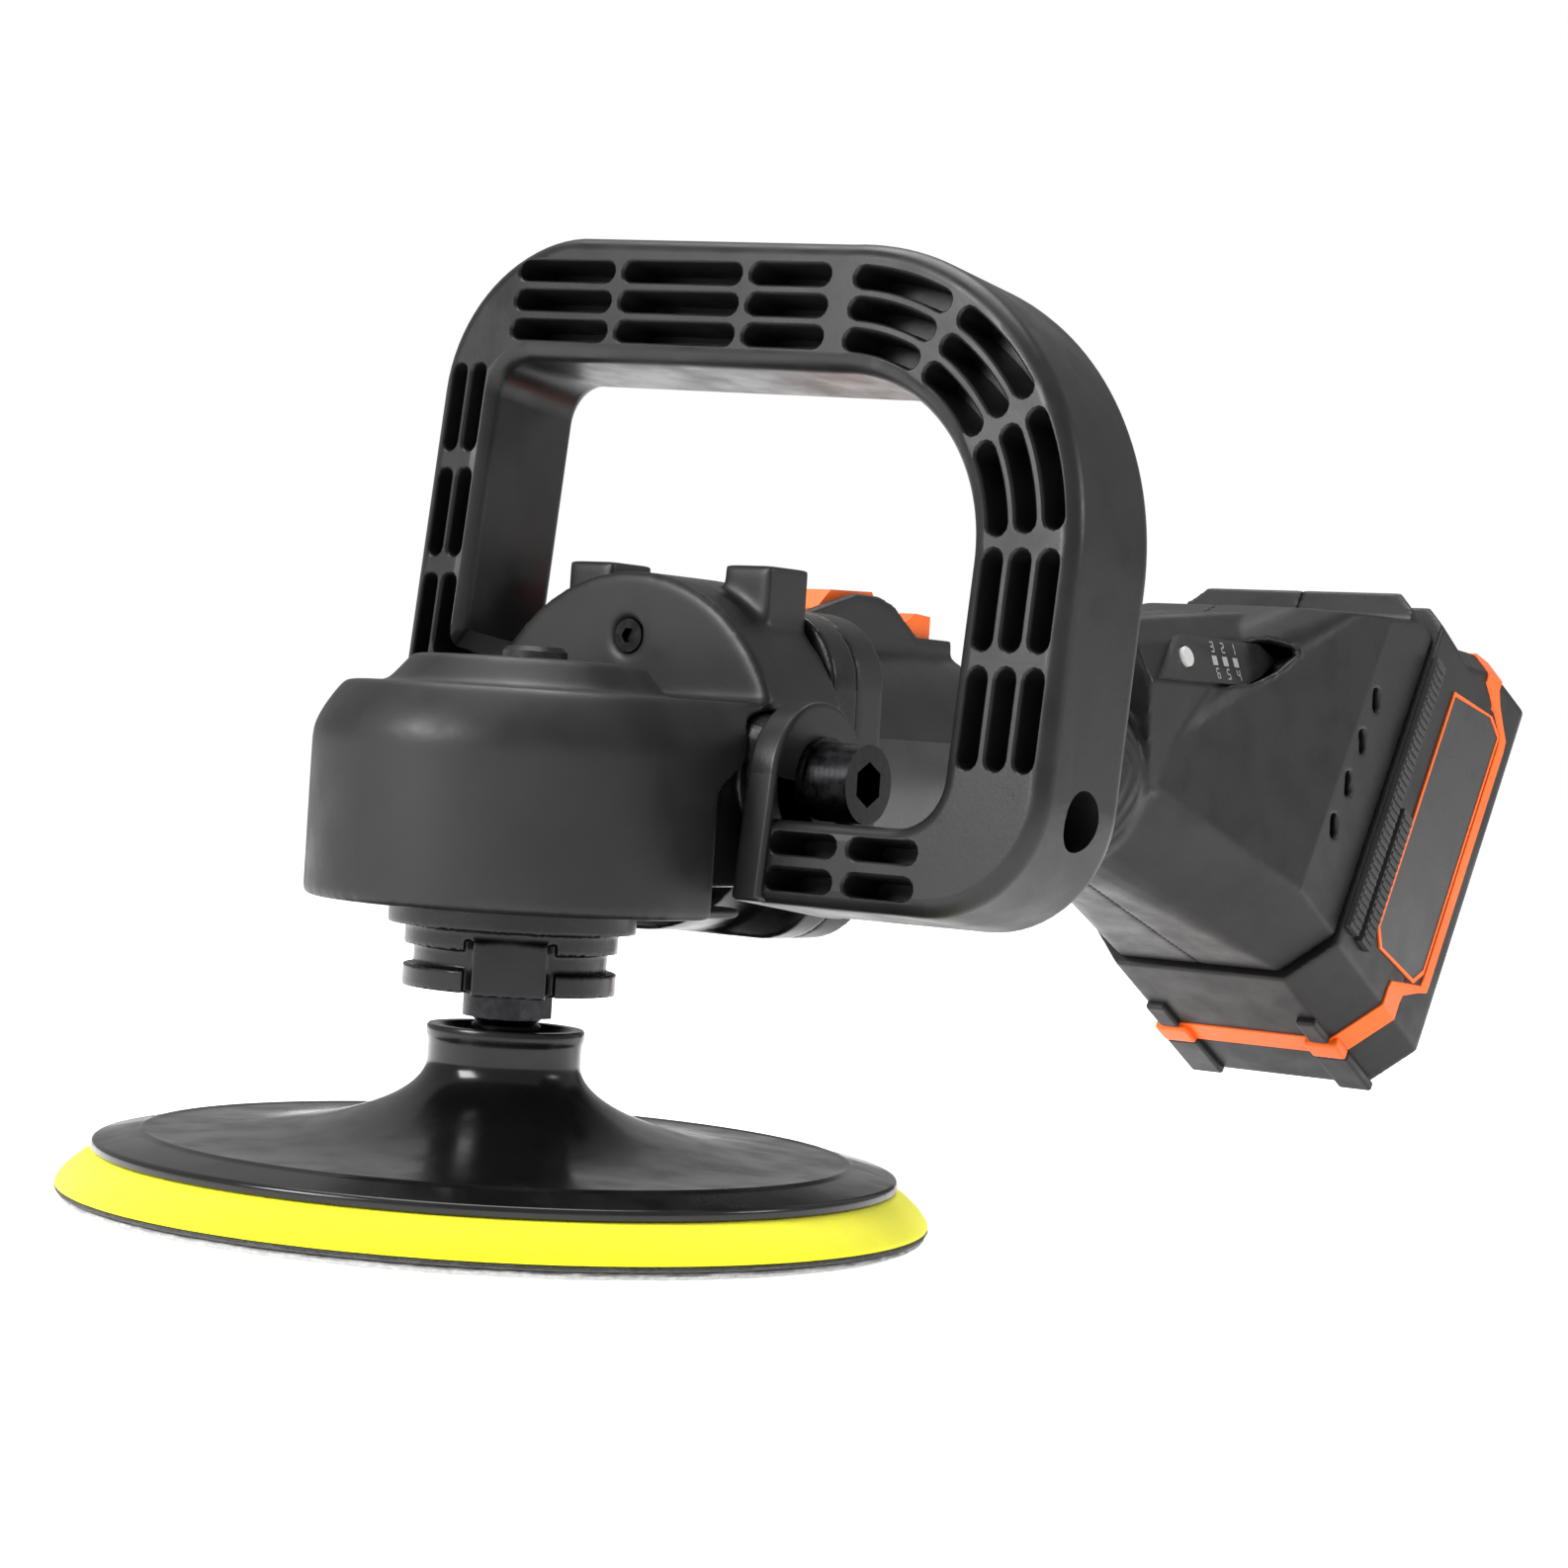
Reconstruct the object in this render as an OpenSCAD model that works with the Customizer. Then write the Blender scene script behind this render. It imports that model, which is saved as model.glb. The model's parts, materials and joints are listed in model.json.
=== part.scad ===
// Cordless rotary polisher: 7 in hook-and-loop pad, right-angle gear head with a rubber boot,
// slotted D-handle, brushless motor and a slide-on battery pack.
// Frame: origin at the centre of the pad's working face, +Z up the spindle, +Y back to the battery.

/* [Pad] */
// Diameter of the foam pad at its working face
pad_d = 177.4; // [150:0.2:200]
// Thickness of the fleece bonnet
fleece_t = 1.8; // [1.2:0.1:4]
// Thickness of the hook-and-loop layer
loop_t = 1.2; // [0.8:0.1:2]
// Thickness of the foam
foam_t = 7; // [4:0.5:20]
// How far the foam's side slopes in from the working face to the plate
foam_slope = 7.5; // [2:0.5:10]
// Height of the backing plate with its hub
plate_h = 28; // [24:0.5:36]
// Thickness of the backing plate at its rim
plate_rim_t = 2.3; // [1.5:0.1:4]
// Diameter of the hub at its mouth
hub_d = 32; // [28:0.5:40]
// Diameter of the steel bush moulded into the hub
bush_d = 22; // [18:0.5:24]

/* [Spindle] */
// Outside diameter of the spindle thread
thread_d = 14; // [12:0.5:16]
// Pitch of the spindle thread
thread_pitch = 2; // [1.5:0.25:2.5]
// Diameter of the spindle's wrench shoulder
shoulder_d = 18; // [17:0.5:20]
// Distance across the two wrench flats
flats_af = 15; // [14:0.5:16.5]
// Diameter of the journal in the lower bearing
journal_d = 15; // [12:0.5:15.5]
// Diameter of the top journal
top_journal_d = 9; // [7:0.5:10]
// Outside diameter of the lower spindle bearing
spindle_bearing_d = 35; // [32:0.5:36]
// Width of the lower spindle bearing
spindle_bearing_w = 11; // [9:0.5:12]

/* [Neck collar] */
// Diameter of the collar's two rings
collar_d = 43; // [41:0.5:48]
// Diameter of the groove between the rings
collar_groove_d = 39; // [38:0.5:40.5]
// Diameter of the step above the rings
collar_step_d = 50; // [46:0.5:54]
// Height of the collar from its mouth to the step
collar_h = 12.5; // [11:0.5:16]
// Height of the step
step_h = 7; // [5:0.5:9]
// Thickness of the cover plate that closes the gear case
cover_t = 4; // [3:0.5:6]
// Width of the key block across the two rings
key_w = 14.5; // [10:0.5:18]
// Turn of the key block from the front, in degrees
key_turn = 40; // [0:5:90]

/* [Gear case] */
// Radius of the cast gear case's nose
nose_r = 39.2; // [38:0.2:44]
// Distance from the spindle to the rear edge of the boot
head_l = 57; // [55:0.5:64]
// Radius of the hump round the motor axis
hump_r = 37.4; // [36:0.2:40]
// Height from the case's bottom to the motor axis
axis_drop = 23; // [22:0.5:28]
// Thickness of the rubber boot
boot_t = 3.1; // [2:0.1:4]
// Number of ring gear teeth
ring_teeth = 36; // [32:4:40]
// Number of pinion teeth
pinion_teeth = 9; // [8:1:9]
// Bevel gear module at the outer end of the teeth
gear_module = 1.55; // [1.4:0.05:1.6]
// Travel of the spindle lock button
lock_travel = 4; // [3:0.5:4.5]

/* [Motor and housing] */
// Outside radius of the motor barrel
barrel_r = 31.5; // [30:0.5:36]
// Wall of the plastic housings
wall = 2.6; // [2:0.2:3]
// Length of the stator
stator_l = 32; // [28:1:34]
// Radius of the rotor
rotor_r = 14.5; // [12:0.5:15.5]
// Diameter of the rotor shaft in its bearings
shaft_d = 8; // [7:0.5:8.5]
// Radius of the grip over its rubber
grip_r = 25; // [24:0.5:27]
// Thickness of the rubber on the grip
overmold_t = 1.7; // [1.2:0.1:2.4]
// Travel of the power slide switch
switch_travel = 6; // [4:0.5:7]
// Travel of the speed button
speed_travel = 1; // [0.6:0.1:1.4]

/* [D-handle] */
// Clear width of the hand opening
hand_gap = 126.5; // [115:0.5:135]
// Height from the bolt axis to the top of the handle at the wide side
handle_h = 107.4; // [100:0.2:125]
// Depth of the handle from front to rear
handle_depth = 30; // [26:0.5:34]
// Width of the wide leg and of the top bar
leg_w = 26.5; // [24:0.5:32]
// Width of the narrow leg
slim_leg_w = 17.5; // [16:0.5:20]
// Backward lean of the handle in degrees
handle_lean = 6.7; // [0:0.1:10]
// Diameter of the handle bolts
bolt_d = 10; // [8:1:10]
// Diameter of the hex key's storage hole
key_hole_d = 12; // [8:0.5:13]

/* [Battery] */
// Length of the battery pack
pack_l = 118; // [112:1:130]
// Width of the battery pack
pack_w = 75; // [72:1:80]
// Depth of the battery pack below its seam
pack_h = 62; // [60:1:70]
// Slope of the battery pack's rails from the horizontal, in degrees
pack_tilt = 60; // [55:1:65]
// Travel of the battery pack along its rails
pack_travel = 80; // [60:5:90]
// Travel of the battery release button
latch_travel = 3; // [2:0.5:3.5]

/* [Hidden] */

$fn = 64;
eps = 0.01;
// running clearance of a shaft in its bearing, slide clearance, and the gap left between bodies
run = 0.05;
slip = 0.4;
free = 0.3;

// heights along the spindle
hook_z = fleece_t;
foam_z = hook_z + loop_t;
plate_z = foam_z + foam_t;
hub_z = plate_z + plate_h;
hub_gap = 2;
flats_z = hub_z + hub_gap;
flats_h = 5.5;
neck_z = flats_z + flats_h;
ring_h = 4.4;
bearing_z = neck_z + ring_h;
step_z = neck_z + collar_h;
cover_z = step_z + step_h;
case_z = cover_z + cover_t;
axis_z = case_z + axis_drop;

// pad
plate_r = pad_d / 2 - foam_slope - 0.4;
neck_r = hub_d / 2 - 0.5;

// gear case
shoulder_z = axis_z + 5;
shoulder_h = 6;
cap_z = shoulder_z + shoulder_h;
cap_h = 6;
cap_top = cap_z + cap_h;
cap_r = 26;
cap_slope = 6;
hump_y = 34;
bumper_x = 15;
bumper_w = 12;
bumper_l = 14;
flange_y = head_l;
flange_l = 9;
joint_y = flange_y + flange_l;
flange_half = 35;
flange_corner = 16;
belly_r = 34.5;
ear_x = nose_r + boot_t + 1.2;
bolt_y = 33;
bolt_z = axis_z - 0.7;
boss_r = 13;
bolt_in = 17;

// bevel gears, apex on the spindle axis at the motor axis' height
ratio = ring_teeth / pinion_teeth;
ring_pitch_r = gear_module * ring_teeth / 2;
pinion_pitch_r = gear_module * pinion_teeth / 2;
cone_l = norm([ring_pitch_r, pinion_pitch_r]);
face_w = 9;
inner_scale = (cone_l - face_w) / cone_l;
cone_dir = [ring_pitch_r, -pinion_pitch_r] / cone_l;
cone_up = [pinion_pitch_r, ring_pitch_r] / cone_l;
addendum = 0.68 * gear_module;
dedendum = 1.0 * gear_module;
half_tooth = 0.205 * PI * gear_module;
flank = tan(20);
ring_back_z = axis_z - 16;
ring_outer_r = ring_pitch_r + 1.6;
cavity_r = ring_outer_r + 2.4;
web_z = axis_z - 6.5;

// spindle lock beside the pinion
lock_ring_r = 16.2;
lock_x = -lock_ring_r * 0.588;
lock_y = lock_ring_r * 0.809;
lock_pin_r = 2;
lock_head_r = 6.7;
lock_top = cap_top + boot_t + 3;
lock_head_h = 4.6;
lock_floor = axis_z + 9;
lock_well_r = lock_head_r + slip;

// motor along +Y
fan_y = flange_y + 3;
fan_h = 10;
stator_y = joint_y + 12;
stator_r = barrel_r - wall - 0.2;
stator_end = stator_y + stator_l;
winding_l = 5;
front_bearing_y = flange_y - 8;
bearing_w = 7;
bearing_r = 11;
rear_bearing_y = stator_end + winding_l + 6;
shaft_end = rear_bearing_y + bearing_w + 2;
nose_end = 14;
pinion_back = ring_pitch_r + 4;

// housing
barrel_end = rear_bearing_y + bearing_w + 6;
neck_l = 33;
grip_tilt = 2.86;
grip_y = barrel_end + neck_l;
grip_z = axis_z + neck_l * tan(grip_tilt);
foot_y = barrel_end + 78;
foot_z = axis_z + 78 * tan(grip_tilt);
grip_core_r = grip_r - overmold_t;
screw_r = 1.6;
screw_l = 24;
screw_in = 14;
post_r = 3.6;
posts = [
    [grip_y - 8, grip_z + 17], [grip_y + 20, grip_z - 16], [foot_y + 22, foot_z - 14],
    [foot_y + 62, foot_z + 30]
];

// slide switch on top of the barrel
deck_z = axis_z + barrel_r + 1;
deck_half = 14;
cheek_t = 3.6;
slider_half = deck_half - cheek_t - slip;
slider_y = 84;
slider_l = 45;
stem_y = stator_end + winding_l + 3;
stem_l = 4;
rod_z = axis_z + stator_r - 3;

// hood of the foot and its speed panel
hood_y = foot_y - 3;
hood_rise = 5.4;
hood_top = 46.5;
hood_low = 28;
hood_half = 24;
panel_tilt = 20;
panel_y = hood_y + 27;
panel_z = axis_z + 34;
panel_l = 46;
panel_h = 12;
panel_t = 2;
button_r = 2.6;
button_y = panel_y - 12;
tact_depth = 5.6;
led_w = 2.5;
led_t = 0.6;
led_y = 3;
led_pitch = 5.4;

// battery frame: local y up the rails, local z out of the pack's top
pack_y = barrel_end + 177.6;
pack_z = axis_z + 4.7;
foot_half = 36;
foot_front = -57;
foot_back = 55;
foot_chamfer = 12;
foot_top = 51;
seam_gap = free;
tongue_half = 20;
tongue_l = 84;
tongue_z = 10.5;
rail_half = 23.4;
rail_z = 5;
channel_top = tongue_z + free;
tongue_front = -38;
pack_wall = 2.4;
pack_chamfer = 12;
upper_h = 41;
band_h = 8;
lower_h = pack_h - upper_h - band_h;
cell_d = 18.3;
cell_l = 65;
cell_pitch = 19.2;
cell_shift = 0.4;
cell_rows_z = [-upper_h - band_h + cell_d / 2 + cell_pitch + 0.2, -upper_h - band_h + cell_d / 2 + 0.2];
blade_x = [-13, -4.5, 4.5, 13];
blade_t = 0.8;
blade_l = 22;
blade_y = tongue_front + 2;
latch_y = pack_l / 2 - 7.6;
latch_half = 9;
latch_l = 6.8;
latch_low = -16;
latch_top_gap = 1;
well_z = latch_low - latch_travel - 1;
hook_half = 4;
hook_l = 1.6;
hook_h = latch_travel - 0.4;

// handle, in its own leaning frame with the bolt axis along X
h_in_r = -(ear_x - 5.5);
leg_in = h_in_r + hand_gap;
leg_out = leg_in + leg_w;
slim_out = h_in_r - slim_leg_w;
bar_low = -26.3;
bar_high = bar_low + 17;
arc_in = 38;
arc_out = arc_in + leg_w;
corner_low = 25;
corner_in = 10;
top_left = handle_h + 3.6;
slim_arc = 28;
ear_t = 7;
ear_r = 16;
pocket = handle_depth / 2 - 3;

// ---------------------------------------------------------------- shared shapes

// a cylinder along +Y from y0, about the point x, z
module along_y(x, y0, z, r, l, r2 = -1, $fn = $fn) {
    translate([x, y0, z]) rotate([-90, 0, 0]) cylinder(h = l, r1 = r, r2 = r2 < 0 ? r : r2);
}

// a cylinder along +X from x0, about the point y, z
module along_x(x0, y, z, r, l) {
    translate([x0, y, z]) rotate([0, 90, 0]) cylinder(h = l, r = r);
}

module tube(ro, ri, h) {
    difference() {
        cylinder(h = h, r = ro);
        translate([0, 0, -1]) cylinder(h = h + 2, r = ri);
    }
}

// a box from its lowest to its highest corner
module box(lo, hi) {
    translate(lo) cube(hi - lo);
}

module both_sides() {
    children();
    mirror([1, 0, 0]) children();
}

function arc(cx, cy, r, a0, a1, n) = [
    for (i = [0 : n]) [cx + r * cos(a0 + (a1 - a0) * i / n), cy + r * sin(a0 + (a1 - a0) * i / n)]
];

function ring_point(r, a, z) = [r * cos(a), r * sin(a), z];

// an open coil of round wire, standing on z = 0
module coil_spring(r, wire_r, turns, h) {
    steps = 14;
    sides = 6;
    n = steps * turns;
    points = [
        for (i = [0 : n]) for (k = [0 : sides - 1])
            ring_point(r + wire_r * cos(360 * k / sides), 360 * i / steps,
                       wire_r + (h - 2 * wire_r) * i / n + wire_r * sin(360 * k / sides))
    ];
    skin = [
        for (i = [0 : n - 1]) for (k = [0 : sides - 1])
            let (a = i * sides + k, b = i * sides + (k + 1) % sides) [a, b, b + sides, a + sides]
    ];
    start_cap = [[for (k = [0 : sides - 1]) sides - 1 - k]];
    end_cap = [[for (k = [0 : sides - 1]) n * sides + k]];
    polyhedron(points, [for (f = concat(skin, start_cap, end_cap)) [for (i = [len(f) - 1 : -1 : 0]) f[i]]]);
}

// a socket head screw along +Z with its head's top at z = 0, pointing down
module socket_screw(d, l, head_d, head_h, hex_af) {
    difference() {
        union() {
            translate([0, 0, -head_h]) cylinder(h = head_h, d = head_d);
            translate([0, 0, -head_h - l]) cylinder(h = l + eps, d = d);
        }
        translate([0, 0, -head_h * 0.6]) cylinder(h = head_h, r = hex_af / sqrt(3), $fn = 6);
    }
}

// a sealed ball bearing standing on z = 0, races and shields in one
module ball_bearing(bore_r, outer_r, w) {
    difference() {
        tube(outer_r, bore_r, w);
        for (z = [-1, w - 0.5]) translate([0, 0, z])
            tube(outer_r - 1.8, bore_r + 1.6, 1.5);
    }
}

// a rounded square about the motor axis, as a slab along +Y
module flange_slab(y0, l, half, corner) {
    hull_free = half - corner;
    translate([0, y0, axis_z]) rotate([-90, 0, 0]) union() {
        translate([-half, -hull_free, 0]) cube([2 * half, 2 * hull_free, l]);
        translate([-hull_free, -half, 0]) cube([2 * hull_free, 2 * half, l]);
        for (x = [-hull_free, hull_free], z = [-hull_free, hull_free])
            translate([x, z, 0]) cylinder(h = l, r = corner);
    }
}

// ---------------------------------------------------------------- pad

module fleece_bonnet() {
    color("whitesmoke") cylinder(h = fleece_t, r = pad_d / 2 - 0.2, $fn = 96);
}

module hook_layer() {
    color("black") translate([0, 0, hook_z]) cylinder(h = loop_t, r = pad_d / 2, $fn = 96);
}

module foam_pad() {
    color("yellow") translate([0, 0, foam_z]) rotate_extrude($fn = 96)
        polygon([
            [0, 0], [pad_d / 2, 0], [pad_d / 2 - foam_slope * 0.55, foam_t * 0.45],
            [pad_d / 2 - foam_slope, foam_t], [0, foam_t]
        ]);
}

// dished plastic plate that sweeps up into the hub
module backing_plate() {
    dish_z = plate_z + plate_rim_t + 2.1;
    sweep_z = hub_z - 7;
    sweep_r = plate_r - 10.8;
    steps = 12;
    sweep = [
        for (i = [0 : steps]) let (a = 90 * i / steps)
            [sweep_r - (sweep_r - neck_r) * sin(a), sweep_z - (sweep_z - dish_z) * cos(a)]
    ];
    color("black") rotate_extrude($fn = 96) polygon(concat(
        [
            [bush_d / 2, plate_z], [plate_r, plate_z], [plate_r, plate_z + plate_rim_t - 0.6],
            [plate_r - 0.6, plate_z + plate_rim_t], [sweep_r + 0.6, dish_z - 0.4],
            [sweep_r + 0.3, dish_z]
        ],
        sweep,
        [
            [neck_r, hub_z - 3], [hub_d / 2, hub_z - 1], [hub_d / 2, hub_z],
            [hub_d / 2 - 2.6, hub_z], [bush_d / 2, hub_z - 3]
        ]
    ));
}

module hub_bush() {
    color("silver") translate([0, 0, plate_z + 2])
        tube(bush_d / 2 - 0.02, thread_d / 2 + 0.02, plate_h - 6);
}

// ---------------------------------------------------------------- spindle

module spindle() {
    thread_z = plate_z + 3;
    thread_l = flats_z - thread_z;
    turns = floor((flats_z - hub_z + 4) / thread_pitch);
    bearing_top = bearing_z + spindle_bearing_w;
    color("dimgray") difference() {
        union() {
            translate([0, 0, thread_z]) cylinder(h = thread_l + eps, d = thread_d);
            translate([0, 0, flats_z]) cylinder(h = bearing_z - free - flats_z, d = shoulder_d);
            translate([0, 0, bearing_z - free - eps])
                cylinder(h = spindle_bearing_w + 2 * free + 2 * eps, d = journal_d - 2 * run);
            translate([0, 0, bearing_top + free])
                cylinder(h = ring_back_z - bearing_top - free, d = shoulder_d);
            translate([0, 0, ring_back_z - eps])
                cylinder(h = axis_z + 3.6 - ring_back_z, d = journal_d);
            translate([0, 0, axis_z + 3]) cylinder(h = 8.2, d = top_journal_d);
        }
        for (side = [-1, 1]) translate([side * (flats_af / 2 + 5), 0, flats_z + flats_h / 2 - 0.5])
            cube([10, shoulder_d + 2, flats_h - 1], center = true);
        for (i = [0 : turns - 1]) translate([0, 0, flats_z - 1 - i * thread_pitch])
            rotate_extrude() polygon([
                [thread_d / 2 + 0.1, -0.75], [thread_d / 2 + 0.1, 0.75], [thread_d / 2 - 0.9, 0]
            ]);
    }
}

// one straight bevel tooth whose section shrinks towards the apex, on the ring gear (side 1) or
// the pinion (side -1); low and high are measured from the pitch cone along its normal
module bevel_tooth(side, low, high) {
    up = side * cone_up;
    sections = [
        for (s = [1, inner_scale]) for (p = [
            [-half_tooth + low * flank, low], [half_tooth - low * flank, low],
            [half_tooth - high * flank, high], [-half_tooth + high * flank, high]
        ]) s * [side * p[0], ring_pitch_r + p[1] * up[0], -pinion_pitch_r + p[1] * up[1]]
    ];
    polyhedron(sections, [
        [0, 1, 2, 3], [7, 6, 5, 4], [4, 5, 1, 0], [5, 6, 2, 1], [6, 7, 3, 2], [7, 4, 0, 3]
    ]);
}

module ring_gear() {
    root_out = [ring_pitch_r, axis_z - pinion_pitch_r] - dedendum * cone_up;
    root_in = [ring_pitch_r * inner_scale, axis_z - pinion_pitch_r * inner_scale]
        - dedendum * inner_scale * cone_up;
    color("gray") difference() {
        union() {
            rotate_extrude() polygon([
                [journal_d / 2 + 0.02, ring_back_z], [ring_outer_r, ring_back_z],
                [ring_outer_r, root_out[1] - 0.6], root_out, root_in, [root_in[0] - 0.4, web_z],
                [journal_d / 2 + 0.02, web_z]
            ]);
            translate([0, 0, axis_z]) for (i = [0 : ring_teeth - 1])
                rotate([0, 0, 360 * (i + 0.5) / ring_teeth])
                    bevel_tooth(1, -dedendum - 0.3, addendum);
        }
        for (a = [0 : 90 : 270]) rotate([0, 0, a]) translate([lock_x, lock_y, ring_back_z - 1])
            cylinder(h = 30, r = lock_pin_r + slip);
    }
}

module ring_gear_nut() {
    color("dimgray") translate([0, 0, web_z]) difference() {
        cylinder(h = 4, r = 10.5, $fn = 6);
        translate([0, 0, -1]) cylinder(h = 6, d = journal_d + 0.04);
    }
}

// ---------------------------------------------------------------- neck collar and bearings

module neck_collar() {
    seat_r = spindle_bearing_d / 2;
    color("black") difference() {
        union() {
            difference() {
                union() {
                    translate([0, 0, neck_z]) cylinder(h = ring_h, d = collar_d);
                    translate([0, 0, neck_z + 8.4]) cylinder(h = collar_h - 8.4 + eps, d = collar_d);
                }
                rotate([0, 0, key_turn])
                    translate([-key_w / 2 - 1.8, -collar_d / 2 - 1, neck_z - 1])
                        cube([key_w + 3.6, 5, collar_h - 1]);
            }
            translate([0, 0, neck_z]) cylinder(h = collar_h + eps, d = collar_groove_d);
            translate([0, 0, step_z]) cylinder(h = step_h + eps, d = collar_step_d);
            translate([0, 0, cover_z]) cylinder(h = cover_t, r = nose_r - 0.4);
            rotate([0, 0, key_turn]) translate([-key_w / 2, -collar_d / 2 - 0.3, neck_z - 0.4])
                cube([key_w, 8, collar_h - 1.6]);
        }
        translate([0, 0, bearing_z]) cylinder(h = 40, r = seat_r);
        translate([0, 0, neck_z - 1]) cylinder(h = 10, d = shoulder_d + 2);
        for (a = [45 : 90 : 315]) rotate([0, 0, a]) translate([nose_r - 4, 0, cover_z - 1]) {
            cylinder(h = cover_t + 2, r = 2.1);
            cylinder(h = 3.4, r = 3.5);
        }
    }
}

module collar_screws() {
    color("dimgray") for (a = [45 : 90 : 315]) rotate([0, 0, a])
        translate([nose_r - 4, 0, cover_z + 0.3]) rotate([180, 0, 0])
            socket_screw(4, 12, 6.6, 2, 3);
}

module spindle_bearing() {
    color("lightgray") translate([0, 0, bearing_z])
        ball_bearing(journal_d / 2, spindle_bearing_d / 2 - 0.01, spindle_bearing_w);
}

// threaded ring that holds the bearing down in the collar
module bearing_ring() {
    top = bearing_z + spindle_bearing_w;
    color("dimgray") translate([0, 0, top])
        tube(spindle_bearing_d / 2 - 0.02, shoulder_d / 2 + 2, 3);
}

module top_bush() {
    color("goldenrod") translate([0, 0, axis_z + 4])
        tube(top_journal_d / 2 + 2.5, top_journal_d / 2 + run, 7.5);
}

// ---------------------------------------------------------------- gear case and boot

// the outer form of the gear head, grown by g, from z_low up
module head_form(g, z_low, y_end) {
    w = nose_r + g;
    translate([0, 0, z_low]) cylinder(h = shoulder_z + g - z_low, r = w);
    translate([0, 0, shoulder_z + g - eps])
        cylinder(h = shoulder_h, r1 = w, r2 = w - shoulder_h);
    translate([0, y_end, 0]) rotate([90, 0, 0]) linear_extrude(y_end) polygon([
        [-w, z_low], [w, z_low], [w, shoulder_z + g], [w - shoulder_h, cap_z + g],
        [-w + shoulder_h, cap_z + g], [-w, shoulder_z + g]
    ]);
    translate([0, 0, cap_z + g - 1])
        cylinder(h = cap_h + 1, r1 = cap_r + g, r2 = cap_r + g - cap_slope);
    intersection() {
        along_y(0, hump_y - g, axis_z, hump_r + g, y_end - hump_y + g);
        box([-60, 0, max(z_low, axis_z - belly_r)], [60, y_end, axis_z + 60]);
    }
}

module gear_case() {
    seat_y = front_bearing_y;
    color("darkgray") difference() {
        union() {
            head_form(0, case_z, flange_y);
            intersection() {
                along_y(0, nose_r + 0.5, axis_z, belly_r, joint_y - nose_r - 0.5);
                box([-60, 0, axis_z - belly_r], [60, 90, axis_z]);
            }
            flange_slab(flange_y, flange_l, flange_half, flange_corner);
            both_sides() along_x(nose_r - 6, bolt_y, bolt_z, boss_r, ear_x - nose_r + 6);
        }
        translate([0, 0, case_z - 1]) cylinder(h = axis_drop + 9, r = cavity_r);
        along_y(0, 10, axis_z, pinion_pitch_r + 2.6, seat_y - 10 + eps);
        along_y(0, seat_y, axis_z, bearing_r, 20);
        along_y(0, flange_y, axis_z, stator_r + 1, 20);
        translate([0, 0, axis_z + 2]) cylinder(h = 9.5, r = top_journal_d / 2 + 2.52);
        translate([lock_x, lock_y, lock_floor]) cylinder(h = 40, r = lock_well_r);
        translate([lock_x, lock_y, axis_z]) cylinder(h = 30, r = lock_pin_r + run);
        both_sides() along_x(ear_x - bolt_in, bolt_y, bolt_z, bolt_d / 2 + 0.02, 40);
        for (a = [45 : 90 : 315]) rotate([0, 0, a]) translate([nose_r - 4, 0, case_z - 1])
            cylinder(h = 12, r = 2.02);
        for (x = [-1, 1], z = [-1, 1])
            along_y(x * 27, flange_y + 0.2, axis_z + z * 27, 2.02, 40);
        along_y(0, hump_y - 20, axis_z + 27, 2.02, 30);
    }
}

// rubber boot over the gear case, open underneath, at the rear and round the handle's ears
module gear_case_boot() {
    boot_z = cover_z - 2.6;
    gap = 0.15;
    lip = nose_r + boot_t;
    opening_y = 11;
    color("dimgray") difference() {
        union() {
            head_form(boot_t, boot_z, head_l);
            both_sides() box([bumper_x, head_l - bumper_l, axis_z + hump_r * 0.7],
                             [bumper_x + bumper_w, head_l, axis_z + hump_r + boot_t + 2.6]);
        }
        head_form(gap, cover_z - gap, head_l + 1);
        translate([0, 0, boot_z - 1]) cylinder(h = 5, r = collar_step_d / 2 + 1);
        box([-lip - 1, nose_r - 12, boot_z - 1], [lip + 1, head_l + 1, case_z + 0.5]);
        both_sides() difference() {
            box([nose_r - 2, opening_y, boot_z - 1], [lip + 3, head_l + 1, axis_z + 14]);
            translate([0, opening_y, axis_z + 14]) rotate([45, 0, 0])
                cube([200, 22, 22], center = true);
        }
        both_sides() along_x(nose_r - 9, bolt_y, bolt_z, boss_r + free, 20);
        translate([lock_x, lock_y, cap_z]) cylinder(h = 30, r = lock_well_r);
        along_y(0, 10, axis_z + 27, 3.6, 40);
    }
}

module lock_button() {
    color("black") translate([lock_x, lock_y, lock_top - lock_head_h]) difference() {
        union() {
            cylinder(h = lock_head_h - 1, r = lock_head_r);
            translate([0, 0, lock_head_h - 1 - eps])
                cylinder(h = 1, r1 = lock_head_r, r2 = lock_head_r - 1);
        }
        translate([0, 0, -1]) cylinder(h = 3, r = lock_pin_r + 0.02);
    }
}

module lock_pin() {
    top = lock_top - lock_head_h + 2 - 0.02;
    low = web_z + 1;
    color("silver") translate([lock_x, lock_y, low]) cylinder(h = top - low, r = lock_pin_r);
}

module lock_spring() {
    h = lock_top - lock_head_h - lock_floor;
    color("silver") translate([lock_x, lock_y, lock_floor])
        coil_spring(lock_pin_r + 1.7, 0.4, 5, h);
}

// four screws through the housing flange and one through the front of the hump
module case_screws() {
    color("dimgray") for (x = [-1, 1], z = [-1, 1])
        translate([x * 27, joint_y + 10 - 0.5, axis_z + z * 27]) rotate([-90, 0, 0])
            socket_screw(4, flange_l + 5, 7, 4, 3);
    color("dimgray") translate([0, hump_y - boot_t + 0.4, axis_z + 27]) rotate([90, 0, 0])
        socket_screw(4, 10, 7, 2.6, 3);
}

// ---------------------------------------------------------------- rotor

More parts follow.
